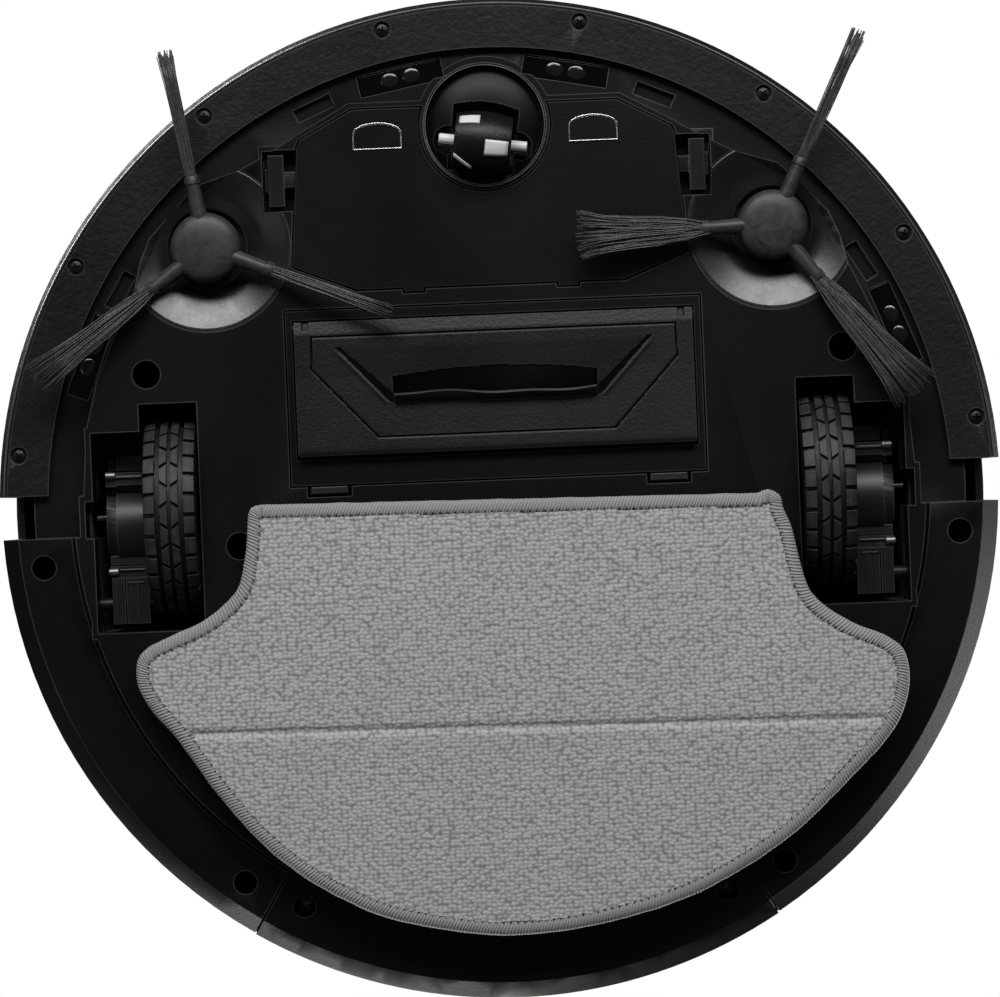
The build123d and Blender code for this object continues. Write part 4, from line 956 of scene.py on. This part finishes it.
bm = bmesh.new()
bmesh.ops.create_grid(bm, x_segments=460, y_segments=262, size=0.5)
for vert in bm.verts:
    vert.co.x = 4.5 + vert.co.x * 460 * TERRY_CELL
    vert.co.y = 64.5 + vert.co.y * 262 * TERRY_CELL
bmesh.ops.delete(bm, geom=[vert for vert in bm.verts if depth_inside(vert.co.x, vert.co.y) < HEM_W - 1.0],
                 context="VERTS")
for vert in bm.verts:
    x, y = vert.co.x, vert.co.y
    hollow = 0.45 * noise.noise(Vector((x * 0.03, y * 0.03, 1.0))) + 0.25 * noise.noise(Vector((x * 0.09, y * 0.09, 5.0)))
    pressed = math.exp(-(near_line(x, y, *CREASE) / 1.1) ** 2)
    loop = loop_relief(x, y) * (1 - 0.45 * pressed)
    vert.co.z = 1.85 + 0.35 * hollow - 0.3 * loop + 0.75 * pressed
    vert.co.x += 0.22 * noise.noise(Vector((x * 1.3, y * 1.3, 9.0)))
    vert.co.y += 0.22 * noise.noise(Vector((x * 1.3, y * 1.3, 17.0)))
bmesh.ops.scale(bm, verts=bm.verts, vec=(MM, MM, MM))
for face in bm.faces:
    if face.normal.z > 0:
        face.normal_flip()

terry, shader, place = new_finish("terry", Sheen_Weight=0.2, Sheen_Roughness=0.5, Roughness=0.95)
thread = place.make("TexNoise", inputs={"Vector": place, "Scale": 2600.0, "Detail": 3.0, "Roughness": 0.7})
dye = place.make("TexNoise", inputs={"Vector": place, "Scale": 30.0, "Detail": 4.0})
rows = place.make("Mapping", inputs={"Vector": place, "Scale": (700.0, 820.0, 60.0)})
loops = place.make("TexVoronoi", {"feature": "SMOOTH_F1"}, {"Vector": rows, "Scale": 1.0, "Smoothness": 0.2,
                                                            "Randomness": 0.55})
# Painted shade: between the loops the cloth is mixed towards a darker grey, standing for the shade in the pits.
pit = place.make("MapRange", inputs={"Value": loops, "From Min": 0.38, "From Max": 0.72})
yarn = place.make("Mix", {"data_type": "RGBA"}, {0: thread * 0.6 + dye * 0.4, 6: grey(0.42), 7: grey(0.60)}, 2)
yarn = place.make("Mix", {"data_type": "RGBA"}, {0: pit, 6: yarn, 7: grey(0.25)}, 2)
yarn.feed(shader.inputs["Base Color"])
place.make("Bump", inputs={"Height": thread * 0.3 - loops, "Strength": 0.5, "Distance": 0.0007}).feed(
    shader.inputs["Normal"])
cloth = add_piece("terry_cloth", bm, terry, "mop", "terry", "mop_cloth", smooth=180)

# The hem: a folded band with fine cross ridges and a row of overlock stitches near its inner edge.
HEM_PROFILE = ((0.9, 4.9), (0.1, 4.6), (-0.05, 3.6), (0.15, 2.6), (0.7, 1.95), (1.5, 1.6), (2.4, 1.45), (3.2, 1.5),
               (3.8, 1.75), (4.3, 2.05), (HEM_W, 2.7), (HEM_W + 0.1, 4.2))
bm = bmesh.new()
bmesh.ops.create_grid(bm, x_segments=len(hem_line), y_segments=len(HEM_PROFILE) - 1, size=0.5)
stitch_along, stitch_across = (bm.verts.layers.float.new(layer) for layer in ("along", "across"))
for vert in bm.verts:
    step = round((vert.co.x + 0.5) * len(hem_line))
    level = round((vert.co.y + 0.5) * (len(HEM_PROFILE) - 1))
    i = step % len(hem_line)
    across, z = HEM_PROFILE[level]
    along = i * 0.32
    ridge = 0.5 + 0.5 * math.cos(math.tau * along / 0.95 + 0.8 * math.sin(along * 0.21))
    bulge = 0.16 * noise.noise(Vector((along * 0.12, 4.0, level * 0.05)))
    puncture = max(0.0, math.cos(math.tau * along / 2.2)) ** 6 if level in (8, 9) else 0.0
    if 2 <= level <= 9:
        z += -0.13 * ridge + bulge + 0.55 * puncture
    across += 0.18 * noise.noise(Vector((along * 0.15, 8.0, 0))) if level < 5 else 0.0
    spot = hem_line[i] + inward[i] * across
    vert.co = Vector((spot.x, spot.y, z)) * MM
    vert[stitch_along], vert[stitch_across] = step * 0.32, across
bmesh.ops.remove_doubles(bm, verts=bm.verts, dist=0.001 * MM)
bmesh.ops.recalc_face_normals(bm, faces=bm.faces)
hem_cloth, shader, place = new_finish("hem_cloth", Sheen_Weight=0.2, Roughness=0.9)
thread = place.make("TexNoise", inputs={"Vector": place, "Scale": 2200.0, "Detail": 3.0, "Roughness": 0.7})
dye = place.make("TexNoise", inputs={"Vector": place, "Scale": 60.0, "Detail": 4.0})
along = place.make("Attribute", {"attribute_name": "along"}, output="Fac")
across = place.make("Attribute", {"attribute_name": "across"}, output="Fac")
lean = along + across * 0.35 + dye * 1.4
ridge = place.maths("SINE", lean * (math.tau / 0.95))
hole = place.maths("COSINE", along * (math.pi / 2.2)) ** 2
seam = place.make("MapRange", inputs={"Value": place.maths("ABSOLUTE", across - 3.9), "From Min": 0.75,
                                      "From Max": 0.2})
groove = place.make("MapRange", inputs={"Value": across, "From Min": 4.25, "From Max": 4.7})
yarn = place.make("Mix", {"data_type": "RGBA"}, {0: thread * 0.4 + dye * 0.3 + ridge * 0.3, 6: grey(0.26),
                                                7: grey(0.48)}, 2)
# Painted shade: the stitch holes of the overlock row and the groove at the hem's inner edge are mixed towards
# near-black.
yarn = place.make("Mix", {"data_type": "RGBA"}, {0: seam * hole ** 3, 6: yarn, 7: grey(0.05)}, 2)
yarn = place.make("Mix", {"data_type": "RGBA"}, {0: groove * 0.7, 6: yarn, 7: grey(0.09)}, 2)
yarn.feed(shader.inputs["Base Color"])
place.make("Bump", inputs={"Height": thread * 0.3 + ridge * 0.5, "Strength": 0.7, "Distance": 0.0004}).feed(
    shader.inputs["Normal"])
hem = add_piece("cloth_hem", bm, hem_cloth, "mop", "terry", smooth=180)
plate_black = grained_plastic("plate_black", 0.004, 0.008, 0.5)
moulded("mop_plate", plate_black, "body_plastic", body="mop")

# ---------------------------------------------------------------- deck fittings
# The start button and the status window sit flush in the glossy deck, and a rocker switch in the skirt.
moulded("start_button", deck_gloss, "deck_gloss", body="start_button", width=0.5, segments=3)
moulded("display_window", smoked, "smoked_window", width=0.3)
moulded("power_switch", button_satin, "body_plastic", body="power_switch", width=0.4, segments=3)

# ---------------------------------------------------------------- inner parts
# The board, motors, fan, battery, duct and springs are hidden when the robot is whole, and show through its
# wells or when a cover is open.
board_green, shader, place = new_finish("board_green", Roughness=0.4)
track = place.make("TexBrick", inputs={"Vector": place, "Scale": 60.0, "Color1": grey(0.2), "Color2": grey(0.9)})
place.make("Mix", {"data_type": "RGBA"}, {0: track, 6: (0.01, 0.09, 0.03, 1), 7: (0.02, 0.16, 0.06, 1)}, 2).feed(
    shader.inputs["Base Color"])
wrap_dark, shader, place = new_finish("wrap_dark", Roughness=0.25)
crinkle = place.make("TexNoise", inputs={"Vector": place, "Scale": 150.0, "Detail": 4.0, "Distortion": 1.0})
place.make("Mix", {"data_type": "RGBA"}, {0: crinkle, 6: (0.004, 0.006, 0.012, 1), 7: (0.008, 0.012, 0.022, 1)}, 2).feed(
    shader.inputs["Base Color"])
place.make("Bump", inputs={"Height": crinkle, "Strength": 0.4, "Distance": 0.001}).feed(shader.inputs["Normal"])
INNER = {"main_board": board_green, "battery_pack": wrap_dark, "suction_fan": button_satin, "air_duct": base_black,
         "brush_motor_left": casing_black, "brush_motor_right": casing_black, "pivot_pins": casing_black, "bumper_switches": casing_black,
         "suspension_spring_left": zinc, "suspension_spring_right": zinc}
for name, material in INNER.items():
    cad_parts[name].data.materials.clear()
    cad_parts[name].data.materials.append(material)
